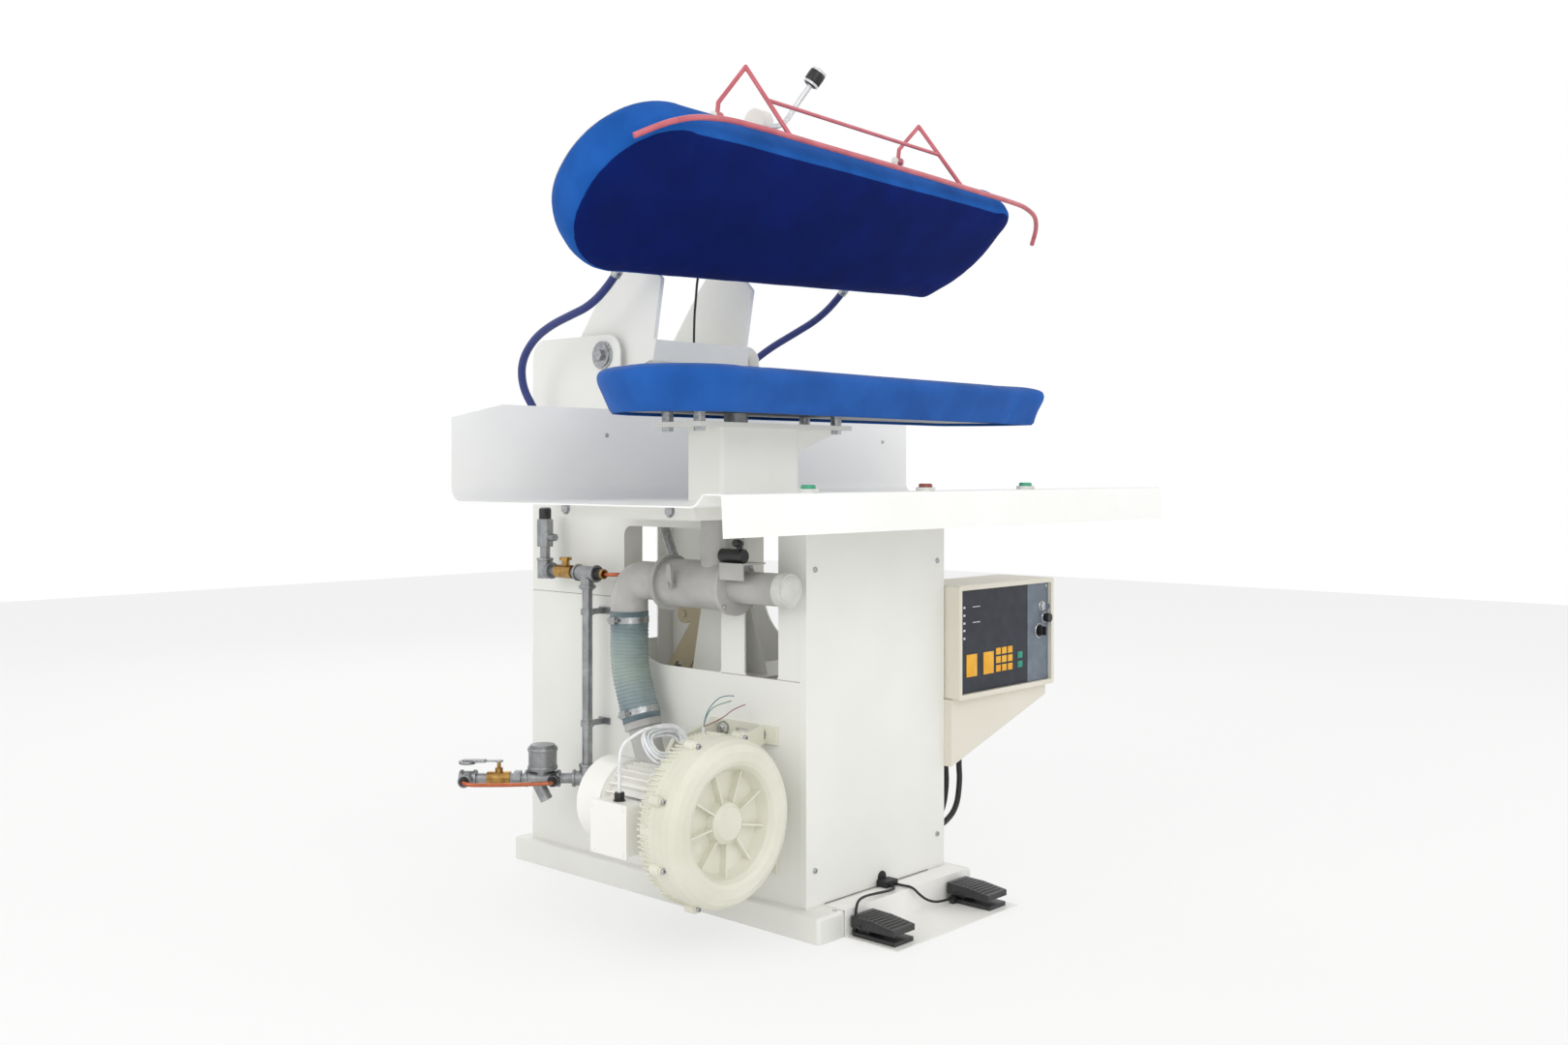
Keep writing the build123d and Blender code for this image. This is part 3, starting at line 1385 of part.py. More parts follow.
with BuildPart() as steam_pipes:
    rod_between((pipe_x, riser_y, riser_foot), (pipe_x, riser_y, riser_top), pipe_r)
    rod_between((pipe_x, riser_y, riser_foot - 17), (pipe_x, riser_y, riser_foot + 30), fitting_r + 1)
    rod_between((pipe_x, riser_y, riser_top - 34), (pipe_x, riser_y, riser_top), fitting_r - 1)
    rod_between((pipe_x, riser_y - 32, riser_top), (pipe_x, riser_y + 32, riser_top), fitting_r)
    rod_between((pipe_x, riser_y + 32, riser_top), (pipe_x, riser_y + 44, riser_top), pipe_r)
    rod_between((pipe_x, 266, riser_top), (pipe_x, vent_y, riser_top), pipe_r)
    rod_between((pipe_x, vent_y - 26, riser_top), (pipe_x, vent_y, riser_top), fitting_r)
    rod_between((pipe_x, vent_y, riser_top - 17), (pipe_x, vent_y, riser_top + 26), fitting_r + 1)
    rod_between((pipe_x, vent_y, riser_top), (pipe_x, vent_y, riser_top + 55), pipe_r)
    rod_between((pipe_x, vent_y, riser_top + 50), (pipe_x, vent_y, riser_top + 108), 17)
    rod_between((pipe_x, vent_y - 34, riser_top + 70), (pipe_x, vent_y, riser_top + 70), 8)
    rod_between((pipe_x, vent_y, riser_top + 108), (pipe_x, vent_y, riser_top + 132), 12)
    rod_between(along_run(0), along_run(158), pipe_r)
    rod_between(along_run(0), along_run(30), fitting_r)
    rod_between(along_run(56), along_run(128), fitting_r)
    rod_between(along_run(92), along_run(92, 26), fitting_r - 1)
    rod_between(along_run(92, 18), along_run(92, 66), 29)
    rod_between(along_run(92, 66), along_run(92, 70), 25)
    rod_between(along_run(106), along_run(84, -44), 13)
    with BuildSketch(Plane(origin=along_run(136), z_dir=run_dir)):
        RegularPolygon(15, 6, major_radius=False)
    extrude(amount=14)
    rod_between(along_run(206), along_run(262), pipe_r)
    rod_between(along_run(228), along_run(263), fitting_r)
    rod_between(along_run(262 - fitting_r, 0, 0), along_run(262 - fitting_r, 0, 36), fitting_r - 2)
    rod_between(along_run(66, 0, 0), along_run(66, 0, 36), 11)
    for z in (330, 560):
        with BuildSketch(Plane.XY.offset(z - 6)):
            with Locations((pipe_x, riser_y)):
                Circle(pipe_r + 3)
        extrude(amount=12)
        with Locations(((pipe_x + wall_x) / 2 + 4, riser_y, z)):
            Box(wall_x - pipe_x - 8, 4, 12)
        with Locations((wall_x - 1.5, riser_y, z)):
            Box(3, 34, 14)
steam_pipes.part.label = "steam_pipes"
export_step(steam_pipes.part, "parts/steam_pipes.step")

# Brass and copper: two valve bodies, the copper tubes, their couplings and the hose elbows on the ears
tube_d = 8
elbow_top = 925
left_elbow = (-250, 330)
right_elbow = (250, 296)
with BuildPart() as brass_fittings:
    rod_between((pipe_x, riser_y + 44, riser_top), (pipe_x, 266, riser_top), 14)
    rod_between((pipe_x, 240, riser_top), (pipe_x, 240, riser_top + 24), 8)
    rod_between((pipe_x, 240, riser_top + 24), (pipe_x, 240, riser_top + 30), 13)
    rod_between(along_run(158), along_run(206), 14)
    rod_between(along_run(182), along_run(182, 22), 8)
    rod_between(along_run(182, 22), along_run(182, 34), 4)
    rod_between((pipe_x, riser_y - 32, riser_top), (pipe_x, riser_y - 54, riser_top), 10)
    upper_tube = [
        (pipe_x, riser_y - 54, riser_top),
        (pipe_x, riser_y - 76, riser_top),
        (pipe_x + 16, riser_y - 98, riser_top + 1),
        (pipe_x + 44, riser_y - 112, riser_top + 2),
        (pipe_x + 74, riser_y - 116, riser_top + 3),
        (pipe_x + 100, riser_y - 116, riser_top + 4),
    ]
    lay_cord(upper_tube, tube_d, "upper copper tube")
    near_run = [
        along_run(262 - fitting_r, 0, 36),
        along_run(262 - fitting_r, 0, 45),
        along_run(262 - fitting_r - 10, -2, 52),
        along_run(225, -3, 54),
        along_run(198, -3, 54),
    ]
    near_run += [
        along_run(160, -3, 53.5),
        along_run(122, -2, 53),
        along_run(94, -1, 52),
        along_run(73, 0, 52),
        along_run(66, 0, 45),
        along_run(66, 0, 36),
    ]
    lay_cord(near_run, tube_d, "lower copper tube")
    for side, (x, y) in ((-1, left_elbow), (1, right_elbow)):
        ear_face = side * (frame_half + fit_gap)
        rod_between((x, y, elbow_top - 30), (x, y, elbow_top), 10)
        rod_between((ear_face, y, elbow_top - 22), (x, y, elbow_top - 22), 9)
        rod_between((ear_face, y, elbow_top - 22), (ear_face + side * 8, y, elbow_top - 22), 15)
brass_fittings.part.label = "brass_fittings"
export_step(brass_fittings.part, "parts/brass_fittings.step")

# Ball valve lever: flat handle on the lower valve's stem
with BuildPart() as ball_valve_lever:
    stem_x, stem_y, stem_z = along_run(182, 34)
    lever_plane = Plane(origin=(stem_x, stem_y, stem_z + fit_gap), x_dir=run_dir, z_dir=(0, 0, 1))
    with BuildSketch(lever_plane):
        Circle(9)
        with Locations((38, 0)):
            Rectangle(70, 12)
    extrude(amount=3)
    with BuildSketch(lever_plane.offset(-1.5)):
        with Locations((50, 0)):
            SlotOverall(50, 15)
    extrude(amount=6)
ball_valve_lever.part.label = "ball_valve_lever"
export_step(ball_valve_lever.part, "parts/ball_valve_lever.step")

# Control box: sheet enclosure with a recessed front
front_depth = 12
box_mid = ((box_left + box_right) / 2, (box_front + box_rear) / 2, (box_bottom + box_top) / 2)
box_size = (box_right - box_left, box_rear - box_front, box_top - box_bottom)
panel_size = (box_size[0] - 2 * bezel, box_size[2] - 2 * bezel)
with BuildPart() as control_box:
    with Locations(box_mid):
        Box(*box_size)
    fillet(control_box.edges().filter_by(Axis.Y), 5)
    with Locations((box_mid[0], box_mid[1] + front_depth / 2 - box_sheet / 2, box_mid[2])):
        Box(
            box_size[0] - 2 * box_sheet,
            box_size[1] - front_depth - box_sheet,
            box_size[2] - 2 * box_sheet,
            mode=Mode.SUBTRACT,
        )
    with Locations((box_mid[0], box_front + front_depth / 2, box_mid[2])):
        Box(panel_size[0], front_depth + 2, panel_size[1], mode=Mode.SUBTRACT)
control_box.part.label = "control_box"
export_step(control_box.part, "parts/control_box.step")

# Control panel: plate in the recess with holes for key switch, start knob and selector
key_at = (530, 556)
knob_at = (542, 530)
selector_at = (520, 503)
panel_plate = 3
panel_y = box_front + panel_recess
with BuildPart() as control_panel:
    with Locations((box_mid[0], panel_y + panel_plate / 2, box_mid[2])):
        Box(panel_size[0] - 2 * fit_gap, panel_plate, panel_size[1] - 2 * fit_gap)
    for x, z in (key_at, knob_at, selector_at):
        with BuildSketch(Plane(origin=(x, panel_y - 2, z), z_dir=(0, 1, 0))):
            Circle(5 + shaft_clear)
        extrude(amount=8, mode=Mode.SUBTRACT)
control_panel.part.label = "control_panel"
export_step(control_panel.part, "parts/control_panel.step")


def panel_piece(spot, parts):
    """Round steps on the panel: each is radius, start and end before the panel's face."""
    for radius, start, end in parts:
        rod_between((spot[0], panel_y - start, spot[1]), (spot[0], panel_y - end, spot[1]), radius)


# Key switch: turning barrel with its key blade
with BuildPart() as key_switch:
    panel_piece(key_at, [(5, -8, 0.4), (9, 0.4, 6)])
    with Locations((key_at[0], panel_y - 14, key_at[1])):
        Box(2.5, 18, 11)
key_switch.part.label = "key_switch"
export_step(key_switch.part, "parts/key_switch.step")

# Start knob: push knob on a stem
with BuildPart() as start_knob:
    panel_piece(knob_at, [(5, -8, 5), (9.5, 5, 15)])
start_knob.part.label = "start_knob"
export_step(start_knob.part, "parts/start_knob.step")

# Selector: turning knob with a pointer rib
with BuildPart() as selector_knob:
    panel_piece(selector_at, [(5, -8, 0.4), (13, 0.4, 3), (10, 3, 14)])
    with Locations((selector_at[0], panel_y - 16, selector_at[1])):
        Box(4, 6, 18)
selector_knob.part.label = "selector_knob"
export_step(selector_knob.part, "parts/selector_knob.step")

# Control bracket: folded wedge under the box with glands for the conduits
wedge_front = -412
wedge_rear = -306
wedge_low = 250
wedge_high = 360
wedge_sheet = 3
wedge_left = frame_half + cover_sheet + 2 * fit_gap
wedge_right = box_right - 6
wedge_slope = (wedge_high - wedge_low) / (wedge_right - wedge_left)
conduit_d = 12
conduit_spots = ((264, -324), (282, -345), (300, -366))
conduit_exit_z = 118
gland_length = 14


def wedge_bottom(x):
    """Height of the wedge's sloping underside."""
    return wedge_low + (x - wedge_left) * wedge_slope


with BuildPart() as control_bracket:
    with BuildSketch(Plane.XZ.offset(-wedge_rear)):
        with BuildLine():
            Polyline(
                (wedge_left, wedge_low), (wedge_right, wedge_high), (wedge_right, box_bottom),
                (wedge_left, box_bottom), close=True,
            )
        make_face()
    extrude(amount=wedge_rear - wedge_front)
    with BuildSketch(Plane.XZ.offset(-wedge_rear + wedge_sheet)):
        with BuildLine():
            Polyline(
                (wedge_left + wedge_sheet, wedge_bottom(wedge_left + wedge_sheet) + wedge_sheet),
                (wedge_right - wedge_sheet, wedge_high + wedge_sheet),
                (wedge_right - wedge_sheet, box_bottom - wedge_sheet),
                (wedge_left + wedge_sheet, box_bottom - wedge_sheet), close=True,
            )
        make_face()
    extrude(amount=wedge_rear - wedge_front - 2 * wedge_sheet, mode=Mode.SUBTRACT)
    for x, y in conduit_spots:
        rod_between((x, y, wedge_bottom(x) + 2), (x, y, wedge_bottom(x) - gland_length), conduit_d / 2 + 4)
    for x, y in conduit_spots:
        rod_between((frame_half + fit_gap, y, conduit_exit_z), (wedge_left + gland_length / 2, y, conduit_exit_z),
                    conduit_d / 2 + 4)
control_bracket.part.label = "control_bracket"
export_step(control_bracket.part, "parts/control_bracket.step")

# Conduits: three cable tubes from the wedge round into the frame's side
with BuildPart() as conduits:
    for x, y in conduit_spots:
        start_z = wedge_bottom(x) - gland_length
        lay_cord([
            (x, y, start_z),
            (x, y, start_z - 28),
            (x + 4, y, start_z - 62),
            (x - 8, y, conduit_exit_z + 26),
            (wedge_left + gland_length / 2 + 22, y, conduit_exit_z),
            (wedge_left + gland_length / 2, y, conduit_exit_z),
        ], conduit_d, "conduit")
conduits.part.label = "conduits"
export_step(conduits.part, "parts/conduits.step")

# Pedal bases: low plates with a hinge block, cross pin and a lug for the cord
base_plate = 8
base_side = 27
hinge_y = 20
hinge_z = 24
pedal_pin_r = 2.5
half_length = pedal_length / 2
with BuildPart() as pedal_bases:
    for x, y in pedal_centers:
        rear = y + half_length
        with Locations((x, y, plate_sheet + base_plate / 2)):
            Box(2 * base_side, pedal_length, base_plate)
        with Locations((x, rear - hinge_y, plate_sheet + 15)):
            Box(40, 26, 30)
        rod_between((x - pedal_width / 2 - 2, rear - hinge_y, hinge_z), (x + pedal_width / 2 + 2, rear - hinge_y,
                    hinge_z), pedal_pin_r)
    left_lug = (pedal_centers[0][0] - 14, pedal_centers[0][1] + half_length + 3.8, 14)
    with Locations((left_lug[0], left_lug[1] - 0.8, (left_lug[2] + plate_sheet) / 2)):
        Box(10, 8, left_lug[2] - plate_sheet)
    right_lug = (pedal_centers[1][0] - base_side - 10, pedal_centers[1][1] + 34, 13)
    with Locations((right_lug[0] + 5, right_lug[1], (right_lug[2] + 4 + plate_sheet) / 2)):
        Box(10, 10, right_lug[2] + 4 - plate_sheet)
pedal_bases.part.label = "pedal_bases"
export_step(pedal_bases.part, "parts/pedal_bases.step")


def pedal_tread(x, y):
    """Hollow sloping tread that turns on the base's cross pin."""
    rear = y + half_length
    front = y - half_length
    with BuildSketch(Plane.YZ.offset(x - pedal_width / 2), mode=Mode.PRIVATE) as shell:
        with BuildLine():
            Polyline(
                (rear, 19), (rear, pedal_height), (rear - 0.45 * pedal_length, pedal_height - 1),
                (front, pedal_height - 8), (front, 21), close=True,
            )
        make_face()
    add(extrude(shell.sketch, amount=pedal_width, mode=Mode.PRIVATE))
    with BuildSketch(Plane.YZ.offset(x - pedal_width / 2 + 3), mode=Mode.PRIVATE) as pocket:
        with BuildLine():
            Polyline(
                (rear - 3, 0), (rear - 3, pedal_height - 4), (rear - 0.45 * pedal_length, pedal_height - 5),
                (front + 4, pedal_height - 12), (front + 4, 0), close=True,
            )
        make_face()
    add(extrude(pocket.sketch, amount=pedal_width - 6, mode=Mode.PRIVATE), mode=Mode.SUBTRACT)
    with BuildSketch(Plane.YZ.offset(x - pedal_width / 2 - 1), mode=Mode.PRIVATE) as bores:
        with Locations((rear - hinge_y, hinge_z)):
            Circle(pedal_pin_r + shaft_clear)
    add(extrude(bores.sketch, amount=pedal_width + 2, mode=Mode.PRIVATE), mode=Mode.SUBTRACT)


with BuildPart() as left_pedal_tread:
    pedal_tread(*pedal_centers[0])
left_pedal_tread.part.label = "left_pedal_tread"
export_step(left_pedal_tread.part, "parts/left_pedal_tread.step")

with BuildPart() as right_pedal_tread:
    pedal_tread(*pedal_centers[1])
right_pedal_tread.part.label = "right_pedal_tread"
export_step(right_pedal_tread.part, "parts/right_pedal_tread.step")

# Cable boot: rubber arch in the front cover with a foot on the pedal plate
boot_face = frame_front - cover_sheet
boot_floor = base_height + 2 * fit_gap + plate_sheet
with BuildPart() as cable_boot:
    with BuildSketch(Plane.XZ.offset(-frame_front - 6)):
        with Locations((boot_x, arch_z)):
            Circle(boot_r - fit_gap)
        with Locations((boot_x, (arch_z + boot_floor) / 2)):
            Rectangle(2 * (boot_r - fit_gap), arch_z - boot_floor)
    extrude(amount=6 + cover_sheet + 2)
    with Locations((boot_x, boot_face - 14, boot_floor + 6)):
        Box(36, 24, 12)
cable_boot.part.label = "cable_boot"
export_step(cable_boot.part, "parts/cable_boot.step")

# Pedal cords: from the boot over the plate's edge to the lugs of the two pedals
cord_d = 5
boot_front = boot_face - 26
with BuildPart() as pedal_cords:
    lay_cord([
        (boot_x - 8, boot_front, 54.5), (boot_x - 8, boot_front - 16, 54.5), (-30, -444, 56), (-70, -440, 58),
        (-108, -445, 62), (left_lug[0] + 5, left_lug[1] - 0.4, 61), (left_lug[0], left_lug[1] - 0.4, 42),
        (left_lug[0], left_lug[1] - 0.4, left_lug[2]),
    ], cord_d, "left pedal cord")
    lay_cord([
        (boot_x + 10, boot_front, 54.5), (boot_x + 10, boot_front - 17, 54.5), (boot_x + 16, -456, 54),
        (40, -462, 36), (62, -466, 21), (92, right_lug[1], right_lug[2]), right_lug,
    ], cord_d, "right pedal cord")
pedal_cords.part.label = "pedal_cords"
export_step(pedal_cords.part, "parts/pedal_cords.step")

# Button bezels: cups in the bead that guide the three push buttons
cup_floor = bead_top + 1.5
cup_top = bead_top + 6
cup_r = 13
stem_r = 6
with BuildPart() as button_bezels:
    for x in button_xs:
        rod_between((x, button_y, bead_top), (x, button_y, cup_top), button_r)
        rod_between((x, button_y, bead_top - 14), (x, button_y, bead_top), button_hole_r - fit_gap)
    for x in button_xs:
        with BuildSketch(Plane.XY.offset(cup_floor)):
            with Locations((x, button_y)):
                Circle(cup_r)
        extrude(amount=10, mode=Mode.SUBTRACT)
        with BuildSketch(Plane.XY.offset(cup_floor + 1)):
            with Locations((x, button_y)):
                Circle(stem_r + shaft_clear)
        extrude(amount=-30, mode=Mode.SUBTRACT)
button_bezels.part.label = "button_bezels"
export_step(button_bezels.part, "parts/button_bezels.step")

button_stroke = 4
cap_low = cup_floor + button_stroke + fit_gap


def push_button(x):
    """Domed cap on a stem."""
    rod_between((x, button_y, cap_low), (x, button_y, cap_low + 7), cup_r - 0.5)
    rod_between((x, button_y, bead_top - 12), (x, button_y, cap_low + 1), stem_r)


with BuildPart() as green_button_left:
    push_button(button_xs[0])
    fillet(green_button_left.edges().group_by(Axis.Z)[-1], 3)
green_button_left.part.label = "green_button_left"
export_step(green_button_left.part, "parts/green_button_left.step")

with BuildPart() as red_button:
    push_button(button_xs[1])
    fillet(red_button.edges().group_by(Axis.Z)[-1], 3)
red_button.part.label = "red_button"
export_step(red_button.part, "parts/red_button.step")

with BuildPart() as green_button_right:
    push_button(button_xs[2])
    fillet(green_button_right.edges().group_by(Axis.Z)[-1], 3)
green_button_right.part.label = "green_button_right"
export_step(green_button_right.part, "parts/green_button_right.step")

# Guard bar: hand bar in front of the head with two A-frames, a rail and pivot eyes
bar_d = 11
leg_r = 4.5
eye_y = -560
eye_z = face_z + 115
eye_pin_r = 4
eye_xs = (-225, 335)
apex_spots = ((-160, -644, face_z + 180), (412, -623, face_z + 180))
foot_spots = ((-130, -606, face_z + 12), (443, -590, face_z + 12))
with BuildPart() as guard_bar:
    bar_points = [
        (-505, -546, face_z - 7), (-452, -583, face_z - 4), (-390, -603, face_z + 4), (-307, -610, face_z + 12),
        (-200, -609, face_z + 12), (-40, -604, face_z + 12), (150, -599, face_z + 12), (330, -594, face_z + 12),
        (500, -587, face_z + 12), (634, -582, face_z + 12), (710, -577, face_z + 12), (772, -560, face_z + 12),
        (812, -528, face_z + 12), (840, -484, face_z + 12),
    ]
    lay_cord([head_point(*spot) for spot in bar_points], bar_d, "guard bar")
    for foot, apex, eye_x in zip(foot_spots, apex_spots, eye_xs):
        rod_between(head_point(*foot), head_point(*apex), leg_r)
        knee = (eye_x, eye_y - 20.6, eye_z + 15.9)
        rod_between(head_point(*apex), head_point(*knee), leg_r)
        rod_between(head_point(*knee), head_point(eye_x, eye_y, eye_z), leg_r)
        with Locations(head_point(*apex), head_point(*knee)):
            Sphere(leg_r)
        with BuildSketch(head_side(eye_x - 8)):
            with Locations((eye_y, eye_z)):
                Circle(eye_pin_r + 5)
        extrude(amount=16)
    rail_share = (face_z + 100 - foot_spots[0][2]) / (apex_spots[0][2] - foot_spots[0][2])
    rail_ends = [
        tuple(low + rail_share * (high - low) for low, high in zip(foot, apex))
        for foot, apex in zip(foot_spots, apex_spots)
    ]
    rod_between(head_point(*rail_ends[0]), head_point(*rail_ends[1]), leg_r - 0.5)
    for eye_x in eye_xs:
        with BuildSketch(head_side(eye_x - 9)):
            with Locations((eye_y, eye_z)):
                Circle(eye_pin_r + shaft_clear)
        extrude(amount=18, mode=Mode.SUBTRACT)
guard_bar.part.label = "guard_bar"
export_step(guard_bar.part, "parts/guard_bar.step")

# Head brackets: pivot cheeks of the guard bar, the handle's boss and the drain valve on the head's back
boss_at = (-100, -560, face_z + 128)
boss_r = 27
handle_pin_r = 7
with BuildPart() as head_brackets:
    for eye_x in eye_xs:
        for side in (-1, 1):
            with BuildSketch(head_side(eye_x + side * 8.5)):
                with BuildLine():
                    Polyline(
                        (-548, shell_top), (-500, shell_top), (eye_y + 7, eye_z - 2), (eye_y - 7, eye_z - 2),
                        close=True,
                    )
                make_face()
                with Locations((eye_y, eye_z)):
                    Circle(8.5)
            extrude(amount=side * 4)
        with BuildSketch(head_side(eye_x - 14)):
            with Locations((eye_y, eye_z)):
                Circle(eye_pin_r)
        extrude(amount=28)
    with BuildSketch(head_side(boss_at[0] - 15)):
        with Locations(boss_at[1:]):
            Circle(boss_r)
        with Locations((boss_at[1] + 22, shell_top + 12)):
            Rectangle(44, 24)
    extrude(amount=30)
    with BuildSketch(head_side(boss_at[0] - 1)):
        with Locations(boss_at[1:]):
            Circle(handle_pin_r + shaft_clear)
    extrude(amount=20, mode=Mode.SUBTRACT)
    rod_between(head_point(259, -535, shell_top), head_point(259, -535, shell_top + 24), 10)
    rod_between(head_point(240, -535, shell_top + 24), head_point(284, -535, shell_top + 24), 8)
    rod_between(head_point(284, -535, shell_top + 24), head_point(292, -535, shell_top + 24), 12)
head_brackets.part.label = "head_brackets"
export_step(head_brackets.part, "parts/head_brackets.step")

# Steam handle: bent lever from the boss with a knob
with BuildPart() as steam_handle:
    boss_x, boss_y, boss_z = boss_at
    lever_points = [
        (boss_x, boss_y, boss_z), (boss_x + 48, boss_y, boss_z), (boss_x + 88, boss_y - 8, boss_z + 20),
        (boss_x + 118, boss_y - 44, boss_z + 46), (boss_x + 136, boss_y - 90, boss_z + 58),
    ]
    lay_cord([head_point(*spot) for spot in lever_points], 12, "steam handle lever")
    rod_between(head_point(boss_x, boss_y, boss_z), head_point(boss_x + 24, boss_y, boss_z), handle_pin_r)
    knob_center = lever_points[-1]
    rod_between(
        head_point(knob_center[0] - 3, knob_center[1] + 6, knob_center[2] - 1),
        head_point(knob_center[0] + 9, knob_center[1] - 24, knob_center[2] + 8),
        17,
    )
steam_handle.part.label = "steam_handle"
export_step(steam_handle.part, "parts/steam_handle.step")

# Head cable: hangs from the head's rear edge to the yoke's web
with BuildPart() as head_cable:
    cable_top = head_point(-79, -247, face_z + 78)
    lay_cord([
        cable_top, (-79, cable_top[1] + 10, cable_top[2] - 30), (-79.5, cable_top[1] + 14, cable_top[2] - 75),
        (-79, 38, 1168), (-79, 38.5, 1118.5),
    ], 5, "head cable")
head_cable.part.label = "head_cable"
export_step(head_cable.part, "parts/head_cable.step")

# Steam hoses: from the head's stubs to elbows on the outside of both ears
steam_d = 17
with BuildPart() as steam_hoses:
    x, y, z = hose_fit_left
    start = head_point(x, y + 30, z)
    lay_cord([
        start, (x, start[1] + 34, start[2] - 34), (-284, 128, 1186), (-296, 180, 1168), (-300, 236, 1152),
        (-300, 294, 1126), (-296, 340, 1082), (-284, 352, 1030), (-262, 340, 982), (-250, 330, 950),
        (left_elbow[0], left_elbow[1], elbow_top),
    ], steam_d, "left steam hose")
    x, y, z = hose_fit_right
    start = head_point(x, y + 30, z)
    lay_cord([
        start, (x, start[1] + 34, start[2] - 34), (394, 110, 1208), (368, 160, 1176), (330, 208, 1140),
        (292, 246, 1096), (264, 274, 1046), (252, 292, 996), (250, 296, 952),
        (right_elbow[0], right_elbow[1], elbow_top),
    ], steam_d, "right steam hose")
steam_hoses.part.label = "steam_hoses"
export_step(steam_hoses.part, "parts/steam_hoses.step")
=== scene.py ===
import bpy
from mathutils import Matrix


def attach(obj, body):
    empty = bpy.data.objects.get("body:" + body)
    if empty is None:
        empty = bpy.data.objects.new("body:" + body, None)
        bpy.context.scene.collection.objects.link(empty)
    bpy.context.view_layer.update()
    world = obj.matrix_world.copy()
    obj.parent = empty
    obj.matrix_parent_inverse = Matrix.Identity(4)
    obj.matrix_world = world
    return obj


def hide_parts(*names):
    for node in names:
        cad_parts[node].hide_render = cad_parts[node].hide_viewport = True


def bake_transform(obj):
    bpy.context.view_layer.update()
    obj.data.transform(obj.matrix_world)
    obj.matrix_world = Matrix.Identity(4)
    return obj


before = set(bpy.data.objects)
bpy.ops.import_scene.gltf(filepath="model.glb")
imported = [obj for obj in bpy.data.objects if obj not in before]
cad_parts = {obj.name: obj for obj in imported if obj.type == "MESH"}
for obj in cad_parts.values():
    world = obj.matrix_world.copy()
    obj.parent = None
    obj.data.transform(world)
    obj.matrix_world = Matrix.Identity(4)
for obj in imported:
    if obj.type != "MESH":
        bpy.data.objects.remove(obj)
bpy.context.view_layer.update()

import math
import bmesh
import bpy
from mathutils import Matrix, Vector

# Base plinth and pedal plate: folded from sheet steel, welded at the corners and powder-coated
# cream white, like the side frames and covers that stand on them. The coat has the faint
# pebbling that baked powder has, and its gloss is uneven.
MM = 0.001
bpy.ops.object.select_all(action="DESELECT")


def linear(code):
    """Linear colour of an sRGB hex value."""
    shares = [int(code[i:i + 2], 16) / 255 for i in (0, 2, 4)]
    return [c / 12.92 if c <= 0.04045 else ((c + 0.055) / 1.055) ** 2.4 for c in shares] + [1.0]


def new_finish(name, colour, shader):
    """New material and its shader, with the shader's own sockets set."""
    finish = bpy.data.materials.new(name)
    finish.use_nodes = True
    surface = finish.node_tree.nodes["Principled BSDF"]
    surface.inputs["Base Color"].default_value = linear(colour)
    for socket, value in shader.items():
        surface.inputs[socket].default_value = value
    return finish, surface


def put(finish, kind, settings, links):
    """Adds a node to a material with its settings, and links its inputs."""
    added = finish.node_tree.nodes.new(kind)
    for key, value in settings.items():
        if key == "stops":
            ramp = added.color_ramp.elements
            while len(ramp) < len(value):
                ramp.new(0.5)
            for element, (place, colour) in zip(ramp, value):
                element.position = place
                element.color = linear(colour)
        elif isinstance(key, int) or key in added.inputs:
            added.inputs[key].default_value = value
        else:
            setattr(added, key, value)
    for key, (source, output) in links.items():
        finish.node_tree.links.new(source.outputs[output], added.inputs[key])
    return added


def wire(finish, source, output, surface, socket):
    """Links a node's output to the shader."""
    finish.node_tree.links.new(source.outputs[output], surface.inputs[socket])


def dress(finish, *nodes):
    """Gives CAD nodes a material."""
    for name in nodes:
        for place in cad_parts[name].material_slots:
            place.material = finish


def clouded(name, colour, shader, grain, detail, stops):
    """New finish whose colour drifts between tones over a grain in mm; gives back its working nodes."""
    finish, surface = new_finish(name, colour, shader)
    where = put(finish, "ShaderNodeTexCoord", {}, {})
    drift = put(finish, "ShaderNodeTexNoise", {"Scale": 1 / (grain * MM), "Detail": detail},
                {"Vector": (where, "Object")})
    tone = put(finish, "ShaderNodeValToRGB", {"stops": stops}, {"Fac": (drift, "Fac")})
    wire(finish, tone, "Color", surface, "Base Color")
    return finish, surface, where, drift


def coated(name, low, high, gloss, peel=5, depth=0.12):
    """Painted finish: two close tones, pebbled skin and uneven gloss; peel is the grain in mm."""
    finish, surface, where, cloud = clouded(
        name, high, {"Roughness": gloss, "Coat Weight": 0.15, "Coat Roughness": 0.25}, 260, 3.0,
        [(0.3, low), (0.7, high)])
    skin = put(finish, "ShaderNodeTexNoise", {"Scale": 1 / (peel * MM), "Detail": 2.0}, {"Vector": (where, "Object")})
    dents = put(finish, "ShaderNodeBump", {"Strength": depth, "Distance": 0.25 * MM}, {"Height": (skin, "Fac")})
    rubbed = put(finish, "ShaderNodeMapRange", {"To Min": gloss - 0.06, "To Max": gloss + 0.1},
                 {"Value": (cloud, "Fac")})
    wire(finish, dents, "Normal", surface, "Normal")
    wire(finish, rubbed, "Result", surface, "Roughness")
    return finish


frame_coat = coated("powder-coated frame steel", "E9E9E4", "F0F0EB", 0.42)
plate_coat = coated("powder-coated tread plate", "F1F0EC", "F8F7F4", 0.38)
dress(frame_coat, "base_plinth", "left_side_frame", "right_side_frame", "front_cover", "rear_covers")
dress(plate_coat, "pedal_plate")


# Steam hoses: dark-blue braided rubber hose, 17 mm, from the head's rear edge over the ears to
# elbows on the frame's sides. They hang in one free curve, held by a crimped ferrule at each end.
pivot_y, pivot_z = 176, 1092
tilt = math.sqrt(0.5)


